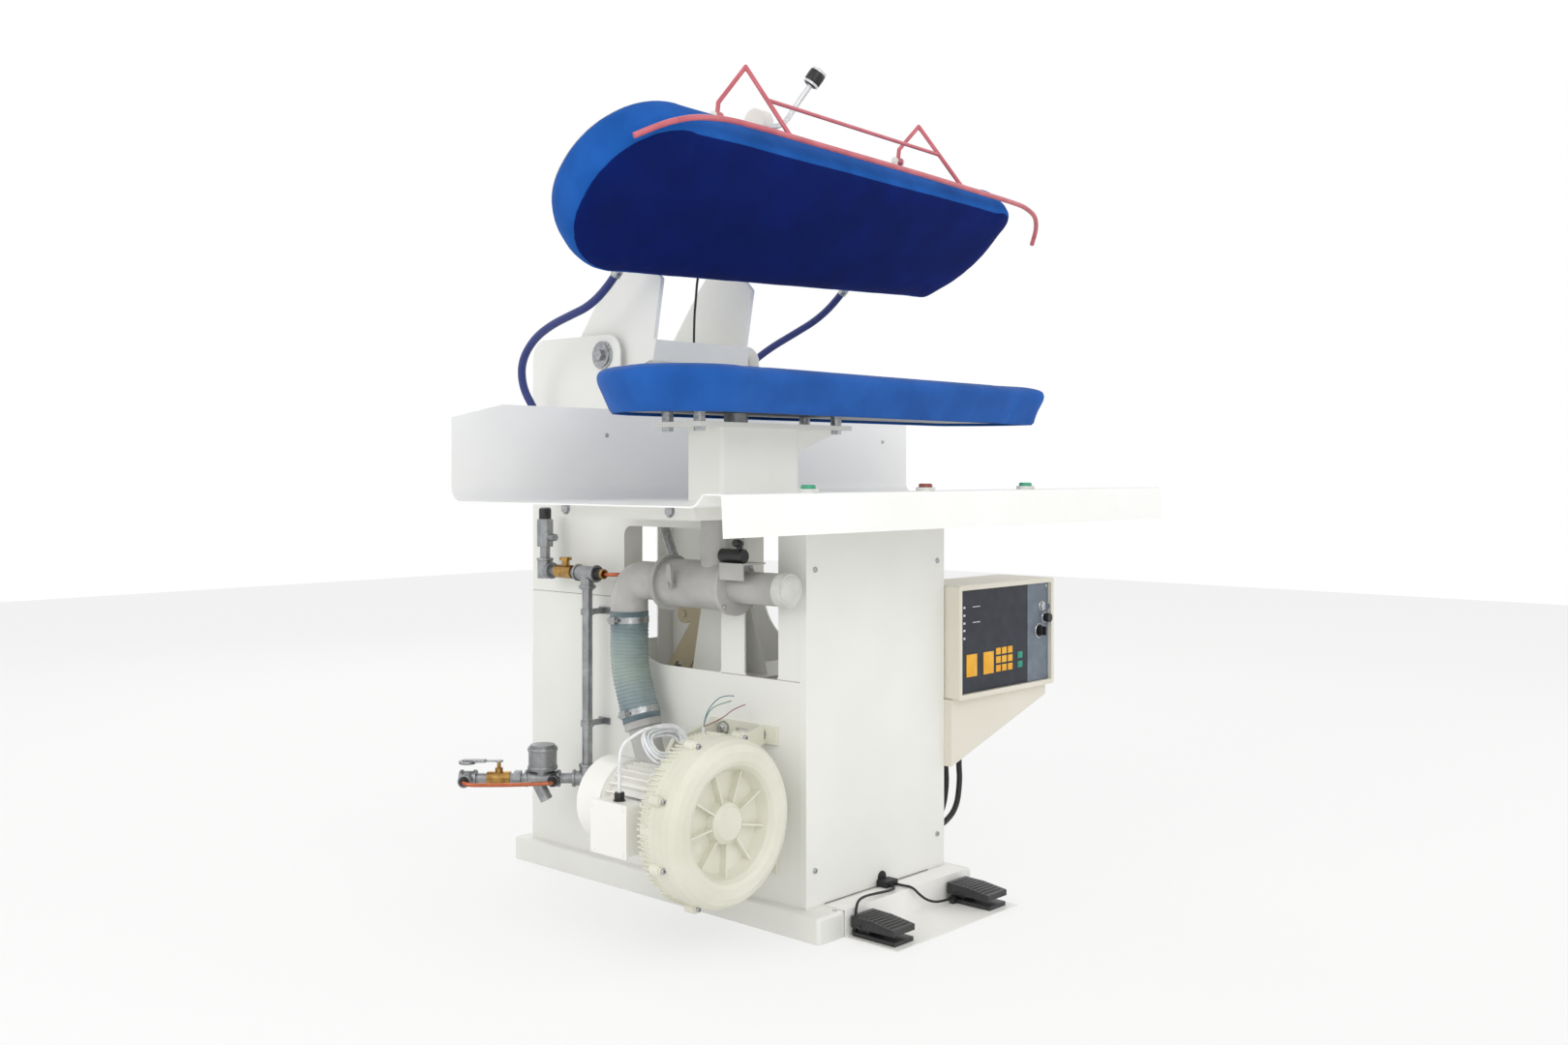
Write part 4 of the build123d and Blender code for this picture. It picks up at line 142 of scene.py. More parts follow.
def raised(x, y, z):
    """Where a point given from the pivot in the closed press lies with the head open, in mm."""
    return (x, pivot_y + (y + z) * tilt, pivot_z + (z - y) * tilt)


def lay_curve(name, points, diameter, finish, body="frame"):
    """Round cord on one smooth spline along its route in mm."""
    line = bpy.data.curves.new(name, "CURVE")
    line.dimensions = "3D"
    line.bevel_depth = diameter / 2 * MM
    line.bevel_resolution = 5
    line.resolution_u = 14
    line.use_fill_caps = True
    route = line.splines.new("NURBS")
    route.points.add(len(points) - 1)
    for knot, spot in zip(route.points, points):
        knot.co = (spot[0] * MM, spot[1] * MM, spot[2] * MM, 1)
    route.order_u = 3
    route.use_endpoint_u = True
    line.materials.append(finish)
    cord = bpy.data.objects.new(name, line)
    bpy.context.collection.objects.link(cord)
    if body:
        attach(cord, body)
    return cord


hose_finish, hose_surface = new_finish("blue braided steam hose", "1D2A66", {"Roughness": 0.55, "Sheen Weight": 0.2})
where = put(hose_finish, "ShaderNodeTexCoord", {}, {})
braid = put(hose_finish, "ShaderNodeTexVoronoi", {"Scale": 1 / (1.6 * MM)}, {"Vector": (where, "Object")})
strands = put(hose_finish, "ShaderNodeValToRGB", {"stops": [(0.15, "15204F"), (0.75, "2A3B86")]},
              {"Fac": (braid, "Distance")})
weave = put(hose_finish, "ShaderNodeBump", {"Strength": 0.35, "Distance": 0.3 * MM}, {"Height": (braid, "Distance")})
wire(hose_finish, strands, "Color", hose_surface, "Base Color")
wire(hose_finish, weave, "Normal", hose_surface, "Normal")

steam_d = 17
left_start = raised(-270, -209, 30)
left_route = [
    left_start, (-270, left_start[1] + 34, left_start[2] - 34), (-284, 128, 1186), (-296, 180, 1168),
    (-300, 236, 1152), (-300, 294, 1126), (-296, 340, 1082), (-284, 352, 1030), (-262, 340, 982),
    (-250, 330, 950), (-250, 330, 925),
]
right_start = raised(406, -240, 30)
right_route = [
    right_start, (406, right_start[1] + 34, right_start[2] - 34), (394, 110, 1208), (368, 160, 1176),
    (330, 208, 1140), (292, 246, 1096), (264, 274, 1046), (252, 292, 996), (250, 296, 952), (250, 296, 925),
]
for name, route in (("left_steam_hose", left_route), ("right_steam_hose", right_route)):
    hose = lay_curve(name, route, steam_d, hose_finish, None)
    bpy.context.view_layer.objects.active = hose
    hose.select_set(True)
    bpy.ops.object.convert(target="MESH")
    bpy.ops.object.shade_smooth()
    hose.select_set(False)
    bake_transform(hose)
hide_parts("steam_hoses")

# Thin black cable: hangs from the head's rear edge to the yoke, for the head's limit switch.
# PVC sheath, smooth, about 5 mm thick.
rubber_finish, rubber_surface, _, scuff = clouded(
    "black cable rubber", "17171A", {"Roughness": 0.5}, 6, 3.0, [(0.35, "131316"), (0.75, "222226")])
grain = put(rubber_finish, "ShaderNodeBump", {"Strength": 0.15, "Distance": 0.2 * MM}, {"Height": (scuff, "Fac")})
wire(rubber_finish, grain, "Normal", rubber_surface, "Normal")
cable_top = raised(-79, -247, 24)
cable_route = [
    cable_top, (-79, cable_top[1] + 10, cable_top[2] - 30), (-79.5, cable_top[1] + 14, cable_top[2] - 75),
    (-79, 38, 1168), (-79, 38.5, 1118.5),
]
thin_cable = lay_curve("head_switch_cable", cable_route, 5, rubber_finish, "head")
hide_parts("head_cable")

# Pedal cords: two round rubber leads, 5 mm, from the boot in the front cover over the plinth's
# edge down to the lugs of the two foot pedals.
left_pedal_route = [
    (0, -419.5, 54.5), (0, -435.5, 54.5), (-30, -444, 56), (-70, -440, 58), (-108, -445, 62),
    (-137, -453.1, 61), (-142, -453.1, 42), (-142, -453.1, 14),
]
right_pedal_route = [
    (18, -419.5, 54.5), (18, -436.5, 54.5), (24, -456, 54), (40, -462, 36), (62, -466, 21),
    (92, -471.5, 13), (129, -471.5, 13),
]
left_pedal_cord = lay_curve("left_pedal_cord", left_pedal_route, 5, rubber_finish)
right_pedal_cord = lay_curve("right_pedal_cord", right_pedal_route, 5, rubber_finish)
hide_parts("pedal_cords")

# Conduits: three black corrugated polyamide tubes, 12 mm, from glands under the control box
# round in a tight drop into glands low on the frame's side.
rings_finish, rings_surface = new_finish("corrugated polyamide conduit", "161618", {"Roughness": 0.38})
where = put(rings_finish, "ShaderNodeTexCoord", {}, {})
ring = put(rings_finish, "ShaderNodeTexWave", {"bands_direction": "Z", "Scale": 1 / (3.4 * MM) / 6.2832 * 2},
           {"Vector": (where, "Object")})
# The grooves are painted darker and the ridges lighter on the same wave as the bump: painted shade in the grooves and
# painted highlight on the ridges.
groove_shade_ramp = put(rings_finish, "ShaderNodeValToRGB", {"stops": [(0.2, "0C0C0D"), (0.7, "242427")]},
             {"Fac": (ring, "Color")})
ridge = put(rings_finish, "ShaderNodeBump", {"Strength": 0.8, "Distance": 0.9 * MM}, {"Height": (ring, "Color")})
wire(rings_finish, groove_shade_ramp, "Color", rings_surface, "Base Color")
wire(rings_finish, ridge, "Normal", rings_surface, "Normal")
conduit_routes = []
wedge_left = 211.1
gland_foot = 14
for x, y in ((264, -324), (282, -345), (300, -366)):
    start_z = 250 + (x - wedge_left) * 110 / (560 - wedge_left) - gland_foot
    conduit_routes.append([
        (x, y, start_z), (x, y, start_z - 28), (x + 4, y, start_z - 62), (x - 8, y, 144),
        (wedge_left + 29, y, 118), (wedge_left + 7, y, 118),
    ])
conduit_tubes = [
    lay_curve(f"conduit_{place}", route, 12, rings_finish)
    for place, route in zip(("rear", "middle", "front"), conduit_routes)
]
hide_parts("conduits")

# Motor lead: white PVC cable left in a loose hank on the blower, its tail arched into the
# terminal box's gland; its far end is stripped and three thin cores stand up from it.
sheath_finish, sheath_surface, where, smudge = clouded(
    "white cable sheath", "EDEEF0", {"Roughness": 0.35, "Subsurface Weight": 0.05}, 14, 3.0,
    [(0.3, "DDE0E4"), (0.65, "F4F4F5")])
rubbed = put(sheath_finish, "ShaderNodeBump", {"Strength": 0.1, "Distance": 0.2 * MM}, {"Height": (smudge, "Fac")})
wire(sheath_finish, rubbed, "Normal", sheath_surface, "Normal")

lead_d = 6
lead_pitch = 6.8
hank_center = (-385, -205, 350)
hank_lean = math.radians(50)


def on_hank(along, up, out):
    """Point of the leaning hank in mm: along X, up its slope, and out of its plane."""
    return (hank_center[0] + along,
            hank_center[1] + up * math.cos(hank_lean) - out * math.sin(hank_lean),
            hank_center[2] + up * math.sin(hank_lean) + out * math.cos(hank_lean))


turn_points = 12
hank_turns = 3
climb_start = 34
last_point = 2 * turn_points * hank_turns
free_end = (-291, -208, 372)
lead_route = [free_end, (-291, -208, 354), (-303, -203, 344), on_hank(60, 4, -8), on_hank(44, -4, -8.5)]
for step in range(last_point + 1):
    angle = 2 * math.pi * step / turn_points
    grown = lead_pitch * max(min(step, last_point - 1 - step), 0) / turn_points
    flat = [math.copysign(abs(part) ** 0.7, part) for part in (math.cos(angle), math.sin(angle))]
    climb = (lead_pitch + 0.4) * min(max((step - climb_start) / 4, 0), 1)
    lead_route.append(on_hank((34 + grown) * flat[0], (20 + grown) * flat[1], climb))
lead_route += [
    on_hank(33, 12, 14), on_hank(20, 21, 23), on_hank(-18, 23, 29), on_hank(-56, 24, 33), (-470, -209, 377),
    (-489, -206, 366), (-496.3, -205, 346), (-496.3, -205, 318), (-496.3, -205, 282),
]
lead_route.reverse()
lead = lay_curve("motor_lead", lead_route, lead_d, sheath_finish)
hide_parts("motor_leads")
core_routes = {
    "blue": [free_end, (-290, -210, 392), (-280, -220, 416), (-264, -233, 431), (-246, -243, 428)],
    "red": [free_end, (-284, -215, 376), (-264, -232, 388), (-248, -245, 405), (-228, -255, 411)],
    "green": [free_end, (-290, -211, 388), (-282, -219, 407), (-268, -231, 415), (-250, -240, 419)],
}
core_colours = {"blue": "3E6E8C", "red": "8A4A54", "green": "5C8F7A"}
for tint, route in core_routes.items():
    core_finish, core_surface = new_finish(f"{tint} core insulation", core_colours[tint], {"Roughness": 0.4})
    where = put(core_finish, "ShaderNodeTexCoord", {}, {})
    haze = put(core_finish, "ShaderNodeTexNoise", {"Scale": 1 / (8 * MM)}, {"Vector": (where, "Object")})
    matt = put(core_finish, "ShaderNodeMapRange", {"To Min": 0.3, "To Max": 0.5}, {"Value": (haze, "Fac")})
    wire(core_finish, matt, "Result", core_surface, "Roughness")
    core = lay_curve(f"{tint}_core", route, 1.8, core_finish)

# Joints of the side plates: the lower plate of each side meets the window posts in a butt joint
# that shows as a fine dark line; hexagon bolts hold the table's beams to the frame.
seam_finish = clouded("shadow in a sheet joint", "8F8B80", {"Roughness": 0.8}, 9, 2.0,
                      [(0.3, "7D786C"), (0.7, "A8A396")])[0]


def boxed(name, low, high, edge, finish, body="frame", steps=2):
    """Block between two corners in mm, with its edges rounded."""
    size = [b - a for a, b in zip(low, high)]
    middle = [(a + b) / 2 for a, b in zip(low, high)]
    bpy.ops.mesh.primitive_cube_add(size=1, location=[c * MM for c in middle])
    piece = bpy.context.object
    piece.name = name
    piece.scale = [s * MM for s in size]
    bpy.ops.object.transform_apply(location=True, rotation=True, scale=True)
    if edge:
        rounding = piece.modifiers.new("rounding", "BEVEL")
        rounding.width = edge * MM
        rounding.segments = steps
        bpy.ops.object.modifier_apply(modifier=rounding.name)
        bpy.ops.object.shade_smooth_by_angle(angle=math.radians(40))
    piece.data.materials.append(finish)
    piece.select_set(False)
    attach(piece, body)
    return piece


def turned(name, profile, spot, aim, finish, body="frame", sides=40, smooth=35):
    """Turned piece: a profile of radius and height in mm, spun about a line through spot along aim."""
    shape = bpy.data.meshes.new(name)
    shape.from_pydata([(r * MM, 0, h * MM) for r, h in profile], [(i, i + 1) for i in range(len(profile) - 1)], [])
    piece = bpy.data.objects.new(name, shape)
    bpy.context.collection.objects.link(piece)
    bpy.context.view_layer.objects.active = piece
    piece.select_set(True)
    bpy.ops.object.mode_set(mode="EDIT")
    bpy.ops.mesh.select_all(action="SELECT")
    bpy.ops.mesh.spin(steps=sides, angle=2 * math.pi, center=(0, 0, 0), axis=(0, 0, 1))
    bpy.ops.mesh.select_all(action="SELECT")
    bpy.ops.mesh.remove_doubles(threshold=0.01 * MM)
    bpy.ops.mesh.normals_make_consistent(inside=False)
    bpy.ops.object.mode_set(mode="OBJECT")
    turn = Vector((0, 0, 1)).rotation_difference(Vector(aim)).to_matrix().to_4x4()
    piece.matrix_world = Matrix.Translation([c * MM for c in spot]) @ turn
    bpy.ops.object.transform_apply(location=True, rotation=True, scale=True)
    if smooth:
        bpy.ops.object.shade_smooth_by_angle(angle=math.radians(smooth))
    piece.data.materials.append(finish)
    piece.select_set(False)
    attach(piece, body)
    return piece


def joined(name, pieces):
    """Several pieces of one kind made one object."""
    bpy.ops.object.select_all(action="DESELECT")
    for piece in pieces:
        piece.select_set(True)
    bpy.context.view_layer.objects.active = pieces[0]
    bpy.ops.object.join()
    pieces[0].name = name
    pieces[0].select_set(False)
    return pieces[0]


# Zinc plating, as on the screws and bolts: grey, slightly blue, duller in some spots.
zinc_finish, zinc_surface, _, plating = clouded(
    "zinc-plated steel", "B4B6B8", {"Metallic": 1.0, "Roughness": 0.36}, 5, 4.0, [(0.3, "96989A"), (0.7, "C6C8CA")])
plate_dull = put(zinc_finish, "ShaderNodeMapRange", {"To Min": 0.28, "To Max": 0.48}, {"Value": (plating, "Fac")})
wire(zinc_finish, plate_dull, "Result", zinc_surface, "Roughness")
dress(zinc_finish, "fasteners", "pivot_shaft", "pivot_bearings")

side_x = 209
seams = []
for side in (-1, 1):
    outer = side * side_x
    flat = sorted((outer, outer + side * 0.35))
    for low_y, high_y, z in ((-391, -172, 462), (110, 411, 590)):
        seams.append(boxed("seam", (flat[0], low_y, z - 0.6), (flat[1], high_y, z + 0.6), 0, seam_finish))
frame_seams = joined("side_plate_joints", seams)

bolt_profile = [(0, 0), (9.2, 0), (9.8, 0.8), (9.8, 5.2), (8.4, 6.4), (0, 6.4)]
beam_bolts = []
for side, beam_x in ((-1, -405), (1, 430)):
    for y, z in ((56, 778), (-238, 778)):
        beam_bolts.append(turned("bolt", bolt_profile, (beam_x, y, z), (side, 0, 0), zinc_finish, sides=6, smooth=0))
        beam_bolts.append(turned("washer", [(0, 0), (12, 0), (12, 1.4), (0, 1.4)], (beam_x, y, z), (side, 0, 0),
                                 zinc_finish))
beam_fixings = joined("beam_bolts", beam_bolts)

# Work table: one sheet of 2.5 mm steel folded with a rolled bead, a cove and an upstand,
# coated the same white as the frame but smoother, because clothes slide over it.
table_coat = coated("smooth table enamel", "F3F3F0", "F9F9F7", 0.3, 7, 0.06)
dress(table_coat, "table_top")
dress(frame_coat, "table_beams", "buck_column", "toggle_bracket")
pan_head = [(0, 0), (4.6, 0), (4.6, 0.9), (3.9, 2.0), (2.2, 2.6), (0, 2.8)]
upstand_screws = joined("upstand_screws", [
    turned("screw", pan_head, (x, 110.4, 923), (0, -1, 0), zinc_finish, sides=24) for x in (-255, 330, 640)
])

# Buck: cast steam-heated plate with a padded, crowned top. A woven polyester cover, bright
# blue, is drawn over felt and foam, and gathered under the rim by a cord in its hem.
cast_finish, cast_surface, _, sand = clouded(
    "sand-cast aluminium", "A9ABAC", {"Metallic": 1.0, "Roughness": 0.5}, 1.8, 4.0, [(0.3, "8F9192"), (0.7, "B6B8B9")])
pits = put(cast_finish, "ShaderNodeBump", {"Strength": 0.4, "Distance": 0.3 * MM}, {"Height": (sand, "Fac")})
wire(cast_finish, pits, "Normal", cast_surface, "Normal")
dress(cast_finish, "buck_casting", "head_casting")


def press_rim(tip, grow, count):
    """Points round the pear-shaped outline shared by buck and head, in mm from the pivot."""
    corners = [(-530, -580), (tip, -552), (tip, -389), (tip - 97, -290), (-530, -239)]
    radii = [160 + grow, max(36 + grow, 6), 200 + grow, max(24 + grow, 6), 160 + grow]
    moved = []
    for before, corner, after in zip(corners[-1:] + corners[:-1], corners, corners[1:] + corners[:1]):
        first = (Vector(corner) - Vector(before)).normalized()
        second = (Vector(after) - Vector(corner)).normalized()
        half = first.angle(second) / 2
        moved.append(Vector(corner) + (first - second).normalized() * (grow / math.cos(half)))
    ring = []
    for before, corner, after, radius in zip(moved[-1:] + moved[:-1], moved, moved[1:] + moved[:1], radii):
        back = (before - corner).normalized()
        ahead = (after - corner).normalized()
        half = (math.pi - back.angle(ahead)) / 2
        start = corner + back * radius * math.tan(half)
        hub = corner + (back + ahead).normalized() * radius / math.cos(half)
        swing = start - hub
        for step in range(17):
            turn = 2 * half * step / 16
            ring.append(hub + Vector((swing.x * math.cos(turn) - swing.y * math.sin(turn),
                                      swing.x * math.sin(turn) + swing.y * math.cos(turn))))
    lengths = [(b - a).length for a, b in zip(ring, ring[1:] + ring[:1])]
    whole = sum(lengths)
    spots = []
    place = 0
    passed = 0.0
    for index in range(count):
        wanted = whole * index / count
        while passed + lengths[place] < wanted:
            passed += lengths[place]
            place += 1
        share = (wanted - passed) / lengths[place] if lengths[place] else 0
        spots.append(ring[place].lerp(ring[(place + 1) % len(ring)], share))
    return spots


def cover_cloth(name, light, dark, thread, sheen, shine, face=None):
    """Plain-woven press cloth, threads in mm; face gives the two tones of the head's own face."""
    cloth, surface = new_finish(name, light, {"Roughness": 0.82, "Sheen Weight": sheen, "Sheen Roughness": 0.45,
                                              "Specular IOR Level": shine})
    where = put(cloth, "ShaderNodeTexCoord", {}, {})
    across = put(cloth, "ShaderNodeTexWave", {"bands_direction": "X", "Scale": 1 / (thread * MM) / 6.2832,
                                              "Distortion": 0.6, "Detail Scale": 2.0}, {"Vector": (where, "Object")})
    along = put(cloth, "ShaderNodeTexWave", {"bands_direction": "DIAGONAL", "Scale": 1 / (thread * MM) / 6.2832,
                                             "Distortion": 0.6, "Detail Scale": 2.0}, {"Vector": (where, "Object")})
    crossing = put(cloth, "ShaderNodeMath", {"operation": "MULTIPLY"}, {0: (across, "Fac"), 1: (along, "Fac")})
    dye = put(cloth, "ShaderNodeTexNoise", {"Scale": 1 / (90 * MM), "Detail": 4.0}, {"Vector": (where, "Object")})
    tone = put(cloth, "ShaderNodeValToRGB", {"stops": [(0.32, dark), (0.68, light)]}, {"Fac": (dye, "Fac")})
    pressed = put(cloth, "ShaderNodeBump", {"Strength": 0.25, "Distance": 0.35 * MM}, {"Height": (crossing, "Value")})
    wire(cloth, pressed, "Normal", surface, "Normal")
    if not face:
        wire(cloth, tone, "Color", surface, "Base Color")
        return cloth
    face_tone = put(cloth, "ShaderNodeValToRGB", {"stops": [(0.32, face[1]), (0.68, face[0])]}, {"Fac": (dye, "Fac")})
    height = put(cloth, "ShaderNodeVectorMath", {"operation": "DOT_PRODUCT", 1: (0, tilt, tilt)},
                 {0: (where, "Object")})
    edge = tilt * (pivot_y + pivot_z) - 49.5
    side = put(cloth, "ShaderNodeMapRange", {"From Min": (edge - 0.6) * MM, "From Max": (edge + 0.6) * MM},
               {"Value": (height, "Value")})
    both = put(cloth, "ShaderNodeMix", {"data_type": "RGBA"}, {0: (side, "Result"), 6: (face_tone, "Color"),
                                                               7: (tone, "Color")})
    wire(cloth, both, 2, surface, "Base Color")
    return cloth


# The real threads are 0.4 mm; they are drawn 1.4 mm apart, or they would not show.
sky_cloth = cover_cloth("bright blue polyester cover", "2360B4", "1A53A0", 1.4, 0.08, 0.2)
head_cloth = cover_cloth("blue cover with a navy face", "2360B4", "1A53A0", 1.4, 0.02, 0.08, ("0A2068", "081B5A"))


def padded_shell(name, tip, levels, place, growth, hem, keep, swell, finish, body):
    """Stuffed cover: ringed shell, blown up a little by cloth pressure, cut open at its hem."""
    count = 150
    rings = [press_rim(tip, grow - growth, count) for height, grow in levels]
    outline = bpy.data.meshes.new(name)
    spots = [(p.x, p.y, level[0]) for ring, level in zip(rings, levels) for p in ring]
    faces = []
    for row in range(len(levels) - 1):
        for index in range(count):
            ahead = (index + 1) % count
            low, high = row * count, (row + 1) * count
            faces.append((low + index, low + ahead, high + ahead, high + index))
    faces.append(tuple(range(count))[::-1])
    faces.append(tuple(range((len(levels) - 1) * count, len(levels) * count)))
    outline.from_pydata([(x * MM, y * MM, z * MM) for x, y, z in spots], [], faces)
    pad = bpy.data.objects.new(name, outline)
    bpy.context.collection.objects.link(pad)
    bpy.context.view_layer.objects.active = pad
    pad.select_set(True)
    bpy.ops.object.mode_set(mode="EDIT")
    bpy.ops.mesh.select_all(action="SELECT")
    bpy.ops.mesh.normals_make_consistent(inside=False)
    bpy.ops.object.mode_set(mode="OBJECT")
    regular = pad.modifiers.new("regular", "REMESH")
    regular.mode = "VOXEL"
    regular.voxel_size = 7 * MM
    bpy.ops.object.modifier_apply(modifier=regular.name)
    even = pad.modifiers.new("even", "SMOOTH")
    even.iterations = 3
    bpy.ops.object.modifier_apply(modifier=even.name)
    start = [v.co.copy() for v in pad.data.vertices]
    blown = pad.modifiers.new("blown", "CLOTH")
    blown.settings.quality = 5
    blown.settings.use_pressure = True
    blown.settings.uniform_pressure_force = 4
    blown.settings.effector_weights.gravity = 0
    blown.settings.tension_stiffness = 25
    blown.settings.compression_stiffness = 25
    blown.collision_settings.use_collision = False
    for step in range(1, 21):
        bpy.context.scene.frame_set(step)
    bpy.ops.object.modifier_apply(modifier=blown.name)
    bpy.context.scene.frame_set(1)
    for vertex, home in zip(pad.data.vertices, start):
        moved = vertex.co - home
        if moved.length > swell * MM:
            vertex.co = home + moved * (swell * MM / moved.length)
    shape = bmesh.new()
    shape.from_mesh(pad.data)
    bmesh.ops.bisect_plane(shape, geom=shape.verts[:] + shape.edges[:] + shape.faces[:], plane_co=(0, 0, hem * MM),
                           plane_no=(0, 0, -keep), clear_outer=True)
    bmesh.ops.transform(shape, matrix=place, verts=shape.verts)
    shape.to_mesh(pad.data)
    shape.free()
    wall = pad.modifiers.new("wall", "SOLIDIFY")
    wall.thickness = 2.4 * MM
    wall.offset = -1
    bpy.ops.object.modifier_apply(modifier=wall.name)
    pad.data.materials.append(finish)
    bpy.ops.object.shade_smooth()
    pad.select_set(False)
    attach(pad, body)
    return pad


buck_levels = [(951, -30), (955, -26), (966, -22), (1010, -2), (1020, 0), (1028, -3), (1033, -10), (1035, -26),
               (1036, -60)]
buck_place = Matrix.Translation((0, pivot_y * MM, 0))
buck_cover = padded_shell("buck_cover", 648, buck_levels, buck_place, 1.5, 954, 1, 4,
                          sky_cloth, "frame")
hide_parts("buck_pad")

# Head: cast steam chest hung face down on the yoke, padded like the buck. Its face cloth is
# navy and stretched flat; a bright blue band covers the sides and turns in over the back.
head_place = Matrix((
    (1, 0, 0, 0), (0, tilt, tilt, pivot_y * MM), (0, -tilt, tilt, pivot_z * MM), (0, 0, 0, 1),
))
head_levels = [(-55.5, -60), (-55, -26), (-53.5, -8), (-50, 3), (-42, 10), (-22, 14), (16, 12), (36, 6), (44, 1)]
head_cover = padded_shell("head_cover", 683, head_levels, head_place, 1.5, 42, -1, 4,
                          head_cloth, "head")
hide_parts("head_pad")

# Vacuum line: grey PVC pressure pipe from the buck's neck to the hose, with a flap valve worked
# by a small cylinder. The moulded tee has flanges with screws, and a domed cap shuts its stub.
pvc_finish, pvc_surface, where, _ = clouded(
    "moulded grey pvc", "B2B1AF", {"Roughness": 0.36, "Coat Weight": 0.2, "Coat Roughness": 0.3}, 70, 3.0,
    [(0.3, "A5A4A2"), (0.7, "BCBBB8")])
grain = put(pvc_finish, "ShaderNodeTexNoise", {"Scale": 1 / (2.5 * MM), "Detail": 2.0}, {"Vector": (where, "Object")})
pvc_skin = put(pvc_finish, "ShaderNodeBump", {"Strength": 0.1, "Distance": 0.2 * MM}, {"Height": (grain, "Fac")})
wire(pvc_finish, pvc_skin, "Normal", pvc_surface, "Normal")
dress(pvc_finish, "vacuum_valve_body", "vacuum_elbow", "valve_flap")

pipe_x, pipe_z = -262, 635
cap_finish = clouded("off-white pvc cap", "D8D8D5", {"Roughness": 0.4}, 20, 3.0, [(0.3, "C9C9C6"), (0.7, "D6D6D2")])[0]
dome = [(0, 10), (14, 8.5), (24, 4), (30, -3), (31.5, -8), (31.5, -22), (30.2, -22), (30.2, -0.5), (0, -0.5)]
turned("stub_cap", dome, (pipe_x, -402.6, pipe_z), (0, -1, 0), cap_finish)

screws = [turned(f"tee_screw_{side}_{rise}", [(0, 4.5), (2.5, 4.5), (4.2, 3), (4.2, 0), (0, 0)],
                 (pipe_x + side * 35, -267.2, pipe_z + rise * 35), (0, -1, 0), zinc_finish, sides=16)
          for side in (-1, 1) for rise in (-1, 1)]
joined("tee_screws", screws)

# Flap actuator: a black air cylinder the size of a finger with two banjo fittings and a strap.
black_finish, black_surface = new_finish("black moulded nylon", "1B1B1C", {"Roughness": 0.38})
where = put(black_finish, "ShaderNodeTexCoord", {}, {})
grain = put(black_finish, "ShaderNodeTexNoise", {"Scale": 1 / (1.6 * MM), "Detail": 2.0},
            {"Vector": (where, "Object")})
black_skin = put(black_finish, "ShaderNodeBump", {"Strength": 0.15, "Distance": 0.15 * MM},
                 {"Height": (grain, "Fac")})
wire(black_finish, black_skin, "Normal", black_surface, "Normal")
actuator = [
    turned("actuator_barrel", [(0, 59), (11, 59), (13, 57), (13, 2), (11, 0), (0, 0)], (-296, -319.5, 695), (0, 1, 0),
           black_finish),
    turned("actuator_port", [(0, 0), (5.5, 0), (5.5, 9), (7.5, 9), (7.5, 15), (4, 17), (0, 17)], (-296, -306, 706),
           (0, 0, 1), black_finish, sides=24),
    turned("actuator_elbow", [(0, 0), (6, 0), (7, 1.5), (7, 12), (5, 14), (0, 14)], (-296, -306, 719), (-1, 0, 0),
           black_finish, sides=24),
]
joined("flap_actuator", actuator)

# Worm-drive clamps: perforated stainless band, screw housing and slotted hex screw at each cuff.
stainless_finish = clouded("stainless band", "A9ABAD", {"Metallic": 1.0, "Roughness": 0.3}, 3, 4.0,
                           [(0.3, "8B8D8F"), (0.7, "BFC1C3")])[0]
dress(stainless_finish, "hose_clamps")

# Suction hose: clear PVC moulded round a hard spiral, 76 mm across, seen teal-grey through its
# wall. It is too short for a cord of its own, so it is a skin over the part's ribbed form.
hose_clear, hose_surface = new_finish("clear ribbed suction hose", "9DB0B3", {
    "Roughness": 0.22, "Transmission Weight": 0.28, "IOR": 1.33, "Coat Weight": 0.3, "Coat Roughness": 0.2})
where = put(hose_clear, "ShaderNodeTexCoord", {}, {})
depth_of = put(hose_clear, "ShaderNodeSeparateXYZ", {}, {"Vector": (where, "Object")})
fog = put(hose_clear, "ShaderNodeTexNoise", {"Scale": 1 / (45 * MM), "Detail": 3.0}, {"Vector": (where, "Object")})
# Colour by height: the hose is painted darker towards its top and bottom ends and lighter in the middle, painted shade
# and painted light over its random clouding.
height_shading = put(hose_clear, "ShaderNodeMapRange", {"From Min": 370 * MM, "From Max": 575 * MM}, {"Value": (depth_of, "Z")})
blend = put(hose_clear, "ShaderNodeMath", {"operation": "MULTIPLY_ADD", 1: 0.25},
            {0: (fog, "Fac"), 2: (height_shading, "Result")})
hose_tone_and_shading = put(hose_clear, "ShaderNodeValToRGB", {"stops": [
    (0.1, "768E9C"), (0.3, "9FB0B3"), (0.55, "B2C2BC"), (0.85, "9CAFB0"), (1.0, "7C9096")]},
    {"Fac": (blend, "Value")})
wire(hose_clear, hose_tone_and_shading, "Color", hose_surface, "Base Color")

hose_top, hose_y, hose_r = 572, 34, 38.35
straight_length, bend_r = 76, 200
bend_length = bend_r * math.radians(20)
hose_length = 2 * straight_length + bend_length


def hose_place(distance):
    """Centre of the suction hose and its two cross directions, in mm, at a length from its top."""
    turn = min(max(distance - straight_length, 0), bend_length) / bend_r
    rest = max(distance - straight_length - bend_length, 0)
    y = hose_y - bend_r * (1 - math.cos(turn)) - rest * math.sin(turn)
    z = hose_top - min(distance, straight_length) - bend_r * math.sin(turn) - rest * math.cos(turn)
    return Vector((pipe_x, y, z)), Vector((0, math.cos(turn), -math.sin(turn)))


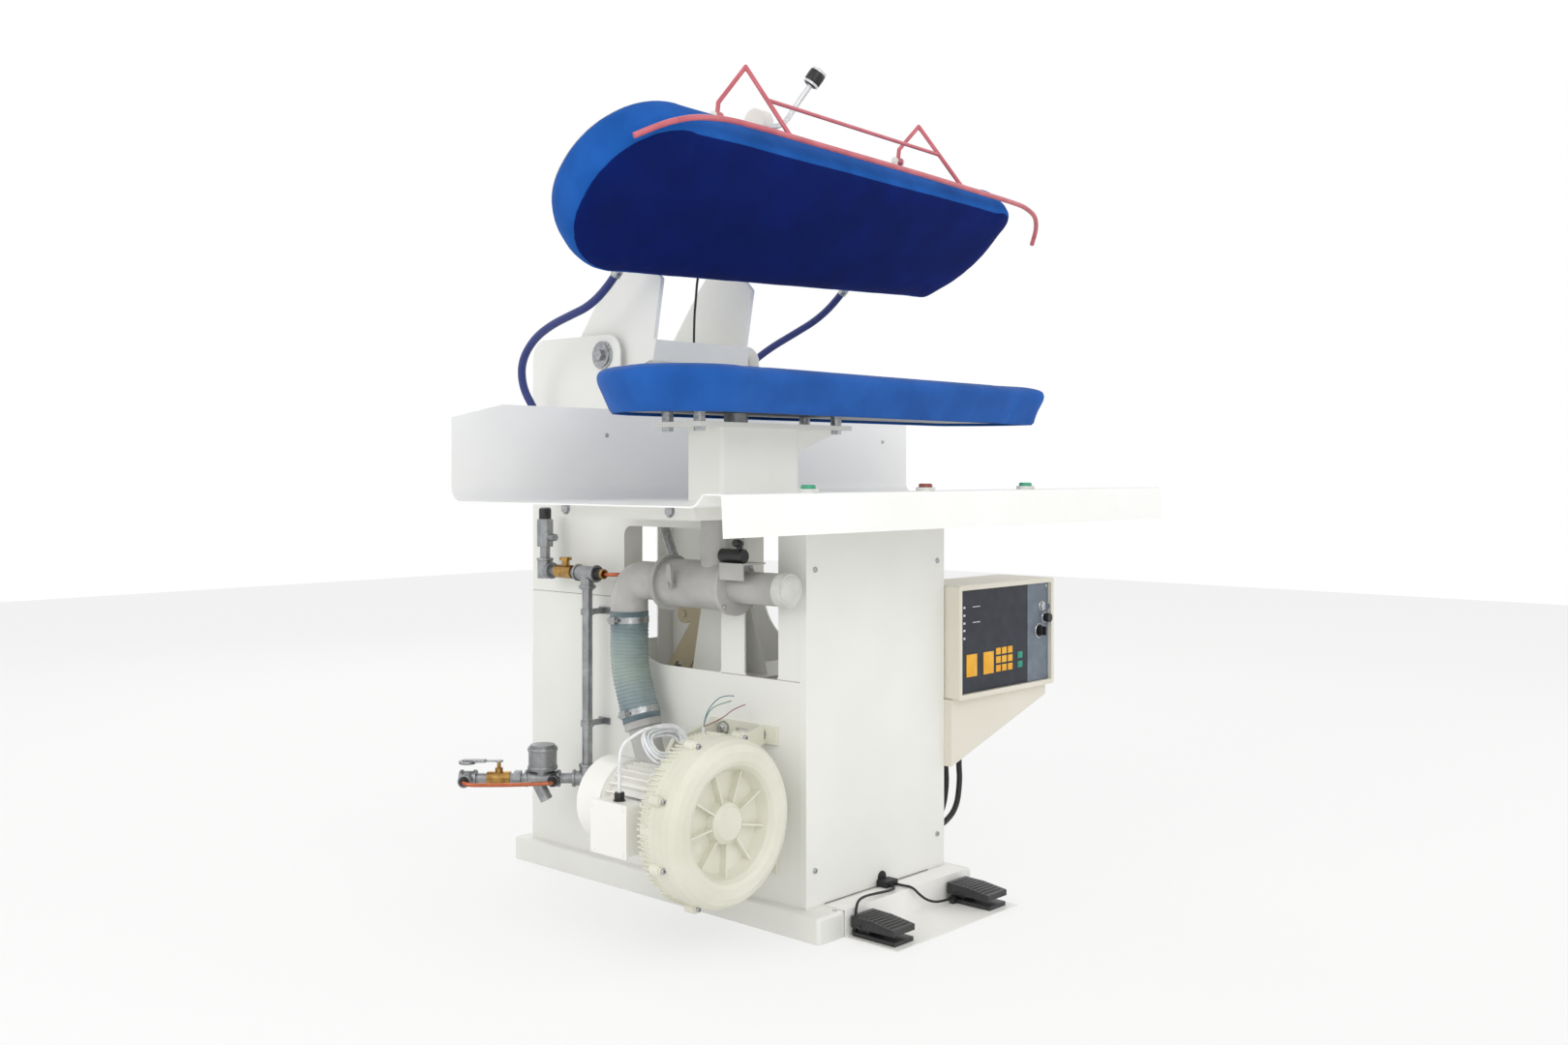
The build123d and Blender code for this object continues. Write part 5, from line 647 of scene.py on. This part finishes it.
ribs = 22
around = 64
cuff, cuff_plain, groove = 30, 28.5, 2.0
pitch = (hose_length - 2 * cuff) / ribs
steps = 6
rows = [(0.0, False), (cuff_plain, False)]
rows += [(cuff + pitch * (count + 0.5) / steps, True) for count in range(ribs * steps)]
rows += [(hose_length - cuff_plain, False), (hose_length, False)]
skin = bpy.data.meshes.new("suction_hose")
spots = []
for at, ribbed in rows:
    middle, upward = hose_place(at)
    for index in range(around):
        turn = 2 * math.pi * index / around
        radius = hose_r
        if ribbed:
            spiral = math.cos(2 * math.pi * ((at - cuff) / pitch - index / around))
            radius -= groove * max(0.0, spiral) ** 1.5
        spot = middle + Vector((1, 0, 0)) * radius * math.cos(turn) + upward * radius * math.sin(turn)
        spots.append(spot * MM)
faces = [(row * around + index, row * around + (index + 1) % around, (row + 1) * around + (index + 1) % around,
          (row + 1) * around + index) for row in range(len(rows) - 1) for index in range(around)]
skin.from_pydata(spots, [], faces)
suction = bpy.data.objects.new("suction_hose", skin)
bpy.context.collection.objects.link(suction)
bpy.context.view_layer.objects.active = suction
suction.select_set(True)
bpy.ops.object.mode_set(mode="EDIT")
bpy.ops.mesh.select_all(action="SELECT")
bpy.ops.mesh.normals_make_consistent(inside=False)
bpy.ops.object.mode_set(mode="OBJECT")
wall = suction.modifiers.new("wall", "SOLIDIFY")
wall.thickness = 3.6 * MM
wall.offset = -1
bpy.ops.object.modifier_apply(modifier=wall.name)
bpy.ops.object.shade_smooth()
suction.data.materials.append(hose_clear)
suction.select_set(False)
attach(suction, "frame")
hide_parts("vacuum_hose")

# Side-channel blower: die-cast aluminium in two halves, sprayed cream with a green cast, fins and
# hub left rough from the mould. A three-phase motor with a sheet fan cowl hangs behind it.
blower_coat, blower_surface, where, _ = clouded(
    "cream paint on die casting", "E0DFD0", {"Roughness": 0.4, "Coat Weight": 0.2, "Coat Roughness": 0.3}, 110, 3.0,
    [(0.3, "D8D7C6"), (0.7, "E4E3D5")])
mould = put(blower_coat, "ShaderNodeTexNoise", {"Scale": 1 / (2.2 * MM), "Detail": 3.0},
            {"Vector": (where, "Object")})
mould_skin = put(blower_coat, "ShaderNodeBump", {"Strength": 0.22, "Distance": 0.3 * MM}, {"Height": (mould, "Fac")})
wire(blower_coat, mould_skin, "Normal", blower_surface, "Normal")
dress(blower_coat, "blower_cover", "blower_housing", "blower_foot")
motor_coat = coated("pale motor enamel", "EFEEE8", "F7F6F1", 0.38, 4, 0.12)
dress(motor_coat, "blower_motor", "motor_fan_cowl", "terminal_box")
dress(pvc_finish, "blower_inlet_pipe")
dress(cast_finish, "blower_impeller")

# Trim on the blower: short cast ribs round the rim between the halves, cap screws in the eight
# lugs, and zinc bolts with washers in the two feet.
blower_x, blower_z = -400, 238
rib_count = 96
rim_ribs = []
for count in range(rib_count):
    turn = 2 * math.pi * (count + 0.5) / rib_count
    if abs((math.degrees(turn) + 22.5) % 45 - 22.5) < 5 and count % 12 == 0:
        continue
    bpy.ops.mesh.primitive_cube_add(size=1, location=(0, 0, 0))
    rib = bpy.context.object
    rib.name = f"rim_rib_{count}"
    rib.scale = (3.2 * MM, 24 * MM, 2.2 * MM)
    bpy.ops.object.transform_apply(location=True, rotation=True, scale=True)
    hub = Matrix.Translation((blower_x * MM, -324 * MM, blower_z * MM))
    rib.matrix_world = hub @ Matrix.Rotation(turn, 4, "Y") @ Matrix.Translation((149 * MM, 0, 0))
    bpy.ops.object.transform_apply(location=True, rotation=True, scale=True)
    rib.data.materials.append(blower_coat)
    rib.select_set(False)
    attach(rib, "frame")
    rim_ribs.append(rib)
joined("rim_ribs", rim_ribs)

washer = [(9.5, 0), (14, 0), (14, 1.6), (9.5, 1.6), (9.5, 0)]
bolt_head = [(0, 9.5), (5, 9.5), (7.6, 8), (9, 6.2), (9, 0), (0, 0)]
foot_holes = [(y, z) for y in (-282, -186) for z in (118.5, 357.5)]
washers = [turned(f"foot_washer_{y}_{z}", washer, (-215.5, y, z), (-1, 0, 0), zinc_finish, sides=28)
           for y, z in foot_holes]
caps = [turned(f"foot_bolt_{y}_{z}", bolt_head, (-215.3, y, z), (-1, 0, 0), zinc_finish, sides=6, smooth=0)
        for y, z in foot_holes]
joined("foot_bolts", washers + caps)

lug_r = 151
socket_head = [(2.2, 4.5), (4.2, 4.5), (4.9, 3.8), (4.9, -3), (2.2, -3)]
lug_screws = []
for count in range(8):
    turn = math.radians(45 * (count + 0.5))
    spot = (blower_x + lug_r * math.cos(turn), -364.2, blower_z + lug_r * math.sin(turn))
    lug_screws.append(turned(f"lug_screw_{count}", socket_head, spot, (0, -1, 0), zinc_finish, sides=20))
joined("lug_screws", lug_screws)

# Cable gland of the terminal box: black nylon with a ribbed nut and rubber seal.
gland = turned("motor_gland", [(5, 16.5), (8.6, 16.2), (9.4, 14), (9.4, 3), (11, 3), (11, 0), (5, 0)],
               (-496.3, -205, 266), (0, 0, 1), black_finish, sides=12, smooth=20)

# Steam pipes: galvanised half-inch pipe with malleable fittings; the zinc shows as grey spangle,
# duller on the castings than on the drawn pipe.
galv_finish, galv_surface = new_finish("galvanised pipe", "A8AAAB", {"Metallic": 0.85, "Roughness": 0.38})
where = put(galv_finish, "ShaderNodeTexCoord", {}, {})
spangle = put(galv_finish, "ShaderNodeTexVoronoi", {"Scale": 1 / (6 * MM)}, {"Vector": (where, "Object")})
dulled = put(galv_finish, "ShaderNodeTexNoise", {"Scale": 1 / (30 * MM), "Detail": 4.0},
             {"Vector": (where, "Object")})
galv_mix = put(galv_finish, "ShaderNodeMath", {"operation": "MULTIPLY_ADD", 1: 0.14},
               {0: (spangle, "Color"), 2: (dulled, "Fac")})
galv_tone = put(galv_finish, "ShaderNodeValToRGB", {"stops": [(0.35, "85878A"), (0.6, "989A9C"), (0.85, "B0B2B3")]},
                {"Fac": (galv_mix, "Value")})
galv_rough = put(galv_finish, "ShaderNodeMapRange", {"To Min": 0.28, "To Max": 0.55}, {"Value": (dulled, "Fac")})
galv_skin = put(galv_finish, "ShaderNodeBump", {"Strength": 0.2, "Distance": 0.3 * MM}, {"Height": (dulled, "Fac")})
wire(galv_finish, galv_tone, "Color", galv_surface, "Base Color")
wire(galv_finish, galv_rough, "Result", galv_surface, "Roughness")
wire(galv_finish, galv_skin, "Normal", galv_surface, "Normal")
dress(galv_finish, "steam_pipes")

# Beads: every screwed fitting ends in a raised ring; the air vent has a black plastic cap.
run_way = Vector((-0.676, 0.737, 0))
riser_x, riser_y, riser_foot, riser_top = -257, 170, 217, 640
vent_y = 309


def on_run(distance, height=0.0):
    """Point of the lower pipe run, in mm."""
    return tuple(Vector((riser_x, riser_y, riser_foot + height)) + run_way * distance)


bead_ring = [(10.7, 0), (17.2, 0), (17.8, 1.4), (17.8, 4.4), (17.2, 5.8), (10.7, 5.8)]
bead_spots = [
    ((riser_x, riser_y, 609), (0, 0, 1)), ((riser_x, 138.5, riser_top), (0, 1, 0)),
    ((riser_x, 196, riser_top), (0, 1, 0)), ((riser_x, 283.5, riser_top), (0, 1, 0)),
    ((riser_x, vent_y, 660), (0, 0, 1)), ((riser_x, riser_y, 241), (0, 0, 1)),
    *((on_run(distance), run_way) for distance in (24, 56, 122, 228, 256)), (on_run(247, 30), (0, 0, 1)),
]
beads = [turned(f"bead_{count}", bead_ring, spot, aim, galv_finish, sides=32)
         for count, (spot, aim) in enumerate(bead_spots)]
trap_ring = [(28.6, 0), (30.4, 0), (31, 1.2), (31, 4.8), (30.4, 6), (28.6, 6), (28.6, 0)]
beads += [turned(f"trap_ring_{height}", trap_ring, on_run(92, height), (0, 0, 1), galv_finish) for height in (20, 57)]
joined("fitting_beads", beads)
vent_cap = turned("vent_cap", [(0, 24), (9, 24), (12, 22), (13, 19), (13, 0), (0, 0)], (riser_x, vent_y, 749),
                  (0, 0, 1), black_finish)

# Copper tubes with brass valves: the tubes are soft-drawn, brown where hot, and held by black
# knurled nuts; the valve bodies and hose elbows are forged brass.
brass_finish = clouded("forged brass", "B08A4C", {"Metallic": 1.0, "Roughness": 0.34}, 14, 5.0,
                       [(0.3, "8C6A3A"), (0.7, "C29C5C")])[0]
copper_finish = clouded("drawn copper tube", "B9694A", {"Metallic": 1.0, "Roughness": 0.3}, 22, 3.0,
                        [(0.3, "A8573B"), (0.7, "C97B5C")])[0]
dress(stainless_finish, "ball_valve_lever")
upper_copper = [(riser_x, 116, riser_top), (riser_x, 94, riser_top), (-241, 72, 641), (-213, 58, 642),
                (-183, 54, 643), (-157, 54, 644)]
aside_way = Vector((-0.737, -0.676, 0))
lower_copper = [tuple(Vector(on_run(along, height)) + aside_way * out) for along, height, out in (
    (247, 0, 36), (247, 0, 45), (237, -2, 52), (225, -3, 54), (198, -3, 54), (160, -3, 53.5), (122, -2, 53),
    (94, -1, 52), (73, 0, 52), (66, 0, 45), (66, 0, 36))]


def off_route(spot, route):
    """Distance of a point from a route of straight runs, both in mm."""
    least = 1e9
    for first, second in zip(route, route[1:]):
        a, b = Vector(first), Vector(second)
        share = max(0.0, min(1.0, (spot - a).dot(b - a) / (b - a).length_squared))
        least = min(least, (spot - a.lerp(b, share)).length)
    return least


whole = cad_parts["brass_fittings"]
mixed = bpy.data.objects.new("brass_and_copper", whole.data.copy())
mixed.data.transform(whole.matrix_world)
bpy.context.collection.objects.link(mixed)
mixed.data.materials.clear()
for finish in (brass_finish, copper_finish):
    mixed.data.materials.append(finish)
for face in mixed.data.polygons:
    spot = face.center / MM
    face.material_index = 1 if min(off_route(spot, upper_copper), off_route(spot, lower_copper)) < 5.6 else 0
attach(mixed, "frame")
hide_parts("brass_fittings")

knurled_nut = [(4.2, 0), (11.5, 0), (12.4, 1.2), (12.4, 9), (10.6, 10.2), (10.6, 17), (8, 22), (6.4, 24), (4.2, 24)]
nuts = [turned("upper_nut", knurled_nut, (riser_x, 140, riser_top), (0, -1, 0), black_finish, sides=24, smooth=20)]
for place in (0, 10):
    foot = Vector(lower_copper[place]) - aside_way * 16
    nuts.append(turned(f"lower_nut_{place}", knurled_nut, foot, aside_way, black_finish, sides=24, smooth=20))
joined("tube_nuts", nuts)

# Control box: folded sheet enclosure, coated beige, hung on a wedge bracket at the frame's side.
# A printed membrane of slate and blue-grey fills the recessed front, with keys in yellow and green.
box_coat = coated("beige enclosure coat", "DFDACB", "E6E1D4", 0.4, 4, 0.12)
dress(box_coat, "control_box", "control_bracket")


def printed(name, colour, low, high, gloss):
    """Printed polyester film: one ink with faint unevenness and a satin face."""
    return clouded(name, colour, {"Roughness": gloss, "Specular IOR Level": 0.3}, 24, 3.0,
                   [(0.35, low), (0.7, high)])[0]


slate_film = printed("slate membrane", "2C3039", "272B33", "31353F", 0.4)
dress(slate_film, "control_panel")
strip_film = printed("blue-grey strip", "707A86", "6A7480", "77818D", 0.4)
yellow_film = printed("yellow key", "F0B030", "EAA828", "F5BA3C", 0.4)
green_film = printed("green key", "2F9A83", "2A907A", "35A58D", 0.4)
white_film = printed("white mark", "D8DADF", "D0D2D8", "E2E4E8", 0.4)

# Membrane: the strip under the three switches, a keypad of three by three, two big keys, two
# green start keys and a column of small lamps.
face_y = -421.0
films = [boxed("strip", (475, face_y - 0.5, 396), (555.5, face_y + 0.2, 606), 0, strip_film)]
for x in (251, 311):
    films.append(boxed("key", (x - 1, face_y - 0.9, 428), (x + 36, face_y + 0.2, 474), 1.2, yellow_film))
for column in range(3):
    for row in range(3):
        low_x = 356 + column * 22
        low_z = 429 + row * 18
        films.append(boxed("key", (low_x, face_y - 0.9, low_z), (low_x + 17, face_y + 0.2, low_z + 14), 1.2,
                           yellow_film))
for low_z in (430, 450):
    films.append(boxed("key", (437, face_y - 0.9, low_z), (455, face_y + 0.2, low_z + 14), 1.2, green_film))
for z in (571, 555, 539, 524, 508):
    films.append(boxed("lamp", (239, face_y - 0.7, z - 2.2), (246, face_y + 0.2, z + 2.2), 0.8, white_film))
for x, z in ((272, 571), (272, 539)):
    films.append(boxed("mark", (x, face_y - 0.5, z - 0.8), (x + 26, face_y + 0.2, z + 0.8), 0, white_film))
membrane = joined("membrane_keys", films)

# Switches: nickel key switch with its flat key, black start knob, and a black rotary selector in
# a chromed ring; all three stand on the strip.
chrome_finish, chrome_surface = new_finish("chromed brass", "C8CACC", {"Metallic": 1.0, "Roughness": 0.14})
where = put(chrome_finish, "ShaderNodeTexCoord", {}, {})
polish = put(chrome_finish, "ShaderNodeTexNoise", {"Scale": 1 / (4 * MM), "Detail": 2.0},
             {"Vector": (where, "Object")})
mirror = put(chrome_finish, "ShaderNodeMapRange", {"To Min": 0.1, "To Max": 0.24}, {"Value": (polish, "Fac")})
wire(chrome_finish, mirror, "Result", chrome_surface, "Roughness")
dress(chrome_finish, "key_switch")
dress(black_finish, "start_knob", "selector_knob")
rings = []
for (x, z), radius in (((530, 556), 11.5), ((542, 530), 12), ((520, 503), 16.5)):
    inner = radius - 2.2
    ring_lip = [(inner, -0.1), (radius, -0.1), (radius, 1.6), (radius - 1, 2.6), (inner, 2.6), (inner, -0.1)]
    rings.append(turned("switch_ring", ring_lip, (x, face_y, z), (0, -1, 0), chrome_finish))
rings.append(turned("strip_screw", [(0, 2.4), (2.2, 2.2), (4, 1.2), (4.2, 0), (0, 0)], (549, face_y, 599), (0, -1, 0),
                    zinc_finish, sides=20))
joined("switch_rings", rings)

# Two-hand buttons: domed plastic push buttons in collars on the table's bead. The outer pair,
# green, closes the press; the middle one, red, stops it.
def shiny(name, colour, dark, gloss):
    """Moulded plastic: one colour with faint flow marks under a gloss."""
    return clouded(name, colour, {"Roughness": gloss, "Coat Weight": 0.3, "Coat Roughness": 0.2}, 12, 3.0,
                   [(0.3, dark), (0.7, colour)])[0]


green_plastic = shiny("green push button", "2FA37C", "259069", 0.3)
red_plastic = shiny("red push button", "8E3B2C", "7A3023", 0.3)
dress(green_plastic, "green_button_left", "green_button_right")
dress(red_plastic, "red_button")
collar_plastic = shiny("pale collar plastic", "D5D6D0", "C8C9C3", 0.35)
dress(collar_plastic, "button_bezels")

# Foot pedals: near-black cast treads on low bases, with grip ribs across the top and a steel
# cross pin; a rubber boot closes the hole that both cords come out of.
tread_plastic = shiny("near-black pedal casting", "232426", "1A1B1D", 0.5)
dress(tread_plastic, "left_pedal_tread", "right_pedal_tread", "pedal_bases")
dress(rubber_finish, "cable_boot")
for side, (x, y), body in (("left", (-128, -505.5), "left_pedal"), ("right", (166, -505.5), "right_pedal")):
    ribs = []
    for count in range(9):
        rib_y = y + 38 - count * 9.4
        rear = y + 49
        if rib_y > rear - 44:
            rib_z = 40 - (rear - rib_y) / 44
        else:
            rib_z = 39 - (rear - 44.1 - rib_y) * 7 / 53.9
        ribs.append(boxed("grip", (x - 26, rib_y - 1.6, rib_z - 1.5), (x + 26, rib_y + 1.6, rib_z + 1.3), 0.8,
                          tread_plastic, body))
    grips = joined(f"{side}_pedal_grips", ribs)

# Yoke: welded arm that carries the head on the pivot shaft, coated like the frame. The brackets
# and boss on the head's back are coated too.
dress(frame_coat, "head_yoke")
boss_coat = coated("white boss coat", "E9E7E0", "F1EFE9", 0.35, 4, 0.1)
dress(boss_coat, "head_brackets")

# Linkage: zinc-plated bell crank, link and rod; the air cylinder has a drawn aluminium barrel. The bell crank is
# coated tan instead: painted shade and reflection, the brown cast it takes in the shadow inside the frame.
barrel_finish = clouded("anodised aluminium barrel", "AEB1B4", {"Metallic": 0.9, "Roughness": 0.35}, 10, 4.0,
                        [(0.3, "989B9E"), (0.7, "BEC1C4")])[0]
dress(barrel_finish, "air_cylinder")
# The bell crank's tan is painted shade and reflection: the brown cast of the lever in shadow inside the frame, given
# as a coat colour.
linkage_painted_shade = coated("tan painted shade on the linkage", "B8AC90", "C6BA9E", 0.5, 3, 0.12)
dress(linkage_painted_shade, "bell_crank")
dress(zinc_finish, "toggle_link", "cylinder_rod")

# Guard bar: bent steel bar with two A-frames, dipped in salmon-red vinyl; pushing it back stops
# the head.
bar_coat = clouded("salmon-red bar coat", "C8606B", {"Roughness": 0.36, "Coat Weight": 0.25, "Coat Roughness": 0.2},
                   40, 3.0, [(0.3, "BC5560"), (0.7, "D06B75")])[0]
dress(bar_coat, "guard_bar")

# Steam handle: satin-plated lever with a turned black knob.
lever_finish = clouded("satin plated lever", "DADCDE", {"Metallic": 0.45, "Roughness": 0.34}, 6, 3.0,
                       [(0.3, "CFD1D3"), (0.7, "E2E3E5")])[0]
dress(lever_finish, "steam_handle")
knob_axis = Vector(raised(9, -24, 8)) - Vector(raised(-3, 6, -1))
knob_foot = Vector(raised(33, -644, 131))
knob_shape = [(6.4, -2), (12, -2), (15.5, 1), (17.6, 6), (17.9, 20), (17.2, 29), (13.5, 34), (6, 36.5), (0, 37)]
knob = turned("handle_knob", knob_shape, knob_foot, knob_axis, black_finish, "handle")

# Hose ends: crimped ferrules on both steam hoses, with hexagons at the stubs and at the elbows.
ferrule = [(8.6, -2), (10.6, -2), (10.8, 4), (9.8, 6), (10.8, 8), (9.8, 12), (10.8, 14), (10.6, 26), (8.6, 27),
           (8.6, -2)]
hose_nut = [(0, -14), (9.6, -14), (11.2, -12.5), (11.2, -3.5), (9.6, -2), (0, -2)]
for name, spot, aim, body in (
    ("left_head", left_route[0], Vector(left_route[1]) - Vector(left_route[0]), "head"),
    ("right_head", right_route[0], Vector(right_route[1]) - Vector(right_route[0]), "head"),
    ("left_elbow", left_route[-1], (0, 0, 1), "frame"),
    ("right_elbow", right_route[-1], (0, 0, 1), "frame"),
):
    sleeve = turned(f"{name}_ferrule", ferrule, spot, aim, zinc_finish, body)
    hexagon = turned(f"{name}_nut", hose_nut, spot, aim, brass_finish, body, sides=6, smooth=0)

# Studio: pale floor, five broad soft lamps and the photograph's level camera.
# The camera stands at the operator's left front corner, 850 mm above the floor.
lens_pixels = 1514
picture_width = 1620
horizon_rise = 53
camera_data = bpy.data.cameras.new("camera")
camera_data.sensor_width = 36
camera_data.lens = lens_pixels / picture_width * camera_data.sensor_width
camera_data.shift_y = -horizon_rise / picture_width
camera = bpy.data.objects.new("camera", camera_data)
camera.location = (-2.2085, -2.1718, 0.85)
camera.rotation_euler = (math.radians(90), 0, math.radians(-47.45))
bpy.context.collection.objects.link(camera)
bpy.context.scene.camera = camera

bpy.ops.mesh.primitive_plane_add(size=16, location=(0, 0, -0.0005))
floor = bpy.context.object
floor.name = "studio_floor"
floor_finish, floor_surface = new_finish("pale floor", "F4F4F3", {"Roughness": 0.9, "Specular IOR Level": 0.1})
where = put(floor_finish, "ShaderNodeLightPath", {}, {})
glow = put(floor_finish, "ShaderNodeEmission", {"Color": linear("FFFFFF"), "Strength": 1.0}, {})
seen = put(floor_finish, "ShaderNodeMath", {"operation": "MULTIPLY", 1: 0.62}, {0: (where, "Is Camera Ray")})
both = put(floor_finish, "ShaderNodeMixShader", {}, {0: (seen, 0), 1: (floor_surface, "BSDF"), 2: (glow, "Emission")})
floor_output = floor_finish.node_tree.nodes["Material Output"]
floor_finish.node_tree.links.new(both.outputs[0], floor_output.inputs["Surface"])
floor.data.materials.append(floor_finish)
floor.select_set(False)

world = bpy.data.worlds.new("studio")
bpy.context.scene.world = world
world.use_nodes = True
backdrop = world.node_tree.nodes["Background"]
backdrop.inputs["Color"].default_value = linear("FFFFFF")
paths = world.node_tree.nodes.new("ShaderNodeLightPath")
shown = (paths, "Is Camera Ray")
for kind in ("Is Glossy Ray", "Is Transmission Ray"):
    either = world.node_tree.nodes.new("ShaderNodeMath")
    either.operation = "MAXIMUM"
    world.node_tree.links.new(shown[0].outputs[shown[1]], either.inputs[0])
    world.node_tree.links.new(paths.outputs[kind], either.inputs[1])
    shown = (either, "Value")
level = world.node_tree.nodes.new("ShaderNodeMapRange")
level.inputs["To Min"].default_value = 0.76
level.inputs["To Max"].default_value = 1.0
world.node_tree.links.new(shown[0].outputs[shown[1]], level.inputs["Value"])
world.node_tree.links.new(level.outputs["Result"], backdrop.inputs["Strength"])

for lamp_name, spot, aim, size, power in (
    ("key lamp", (-1.6, -3.4, 3.0), (0, -0.1, 0.8), 2.4, 27),
    ("side lamp", (-3.6, 0.3, 2.2), (0, 0, 0.7), 2.2, 24),
    ("fill lamp", (3.2, -2.6, 2.0), (0, 0, 0.8), 2.4, 13),
    ("low lamp", (-2.6, -3.2, 1.0), (0, 0, 0.86), 1.6, 15),
    ("rear lamp", (1.5, 3.2, 3.0), (0, 0, 0.9), 2.4, 24),
):
    lamp_data = bpy.data.lights.new(lamp_name, "AREA")
    lamp_data.size = size
    lamp_data.energy = power
    lamp = bpy.data.objects.new(lamp_name, lamp_data)
    lamp.location = spot
    lamp.rotation_euler = (Vector(aim) - Vector(spot)).to_track_quat("-Z", "Y").to_euler()
    bpy.context.collection.objects.link(lamp)
bpy.context.scene.view_settings.view_transform = "Standard"
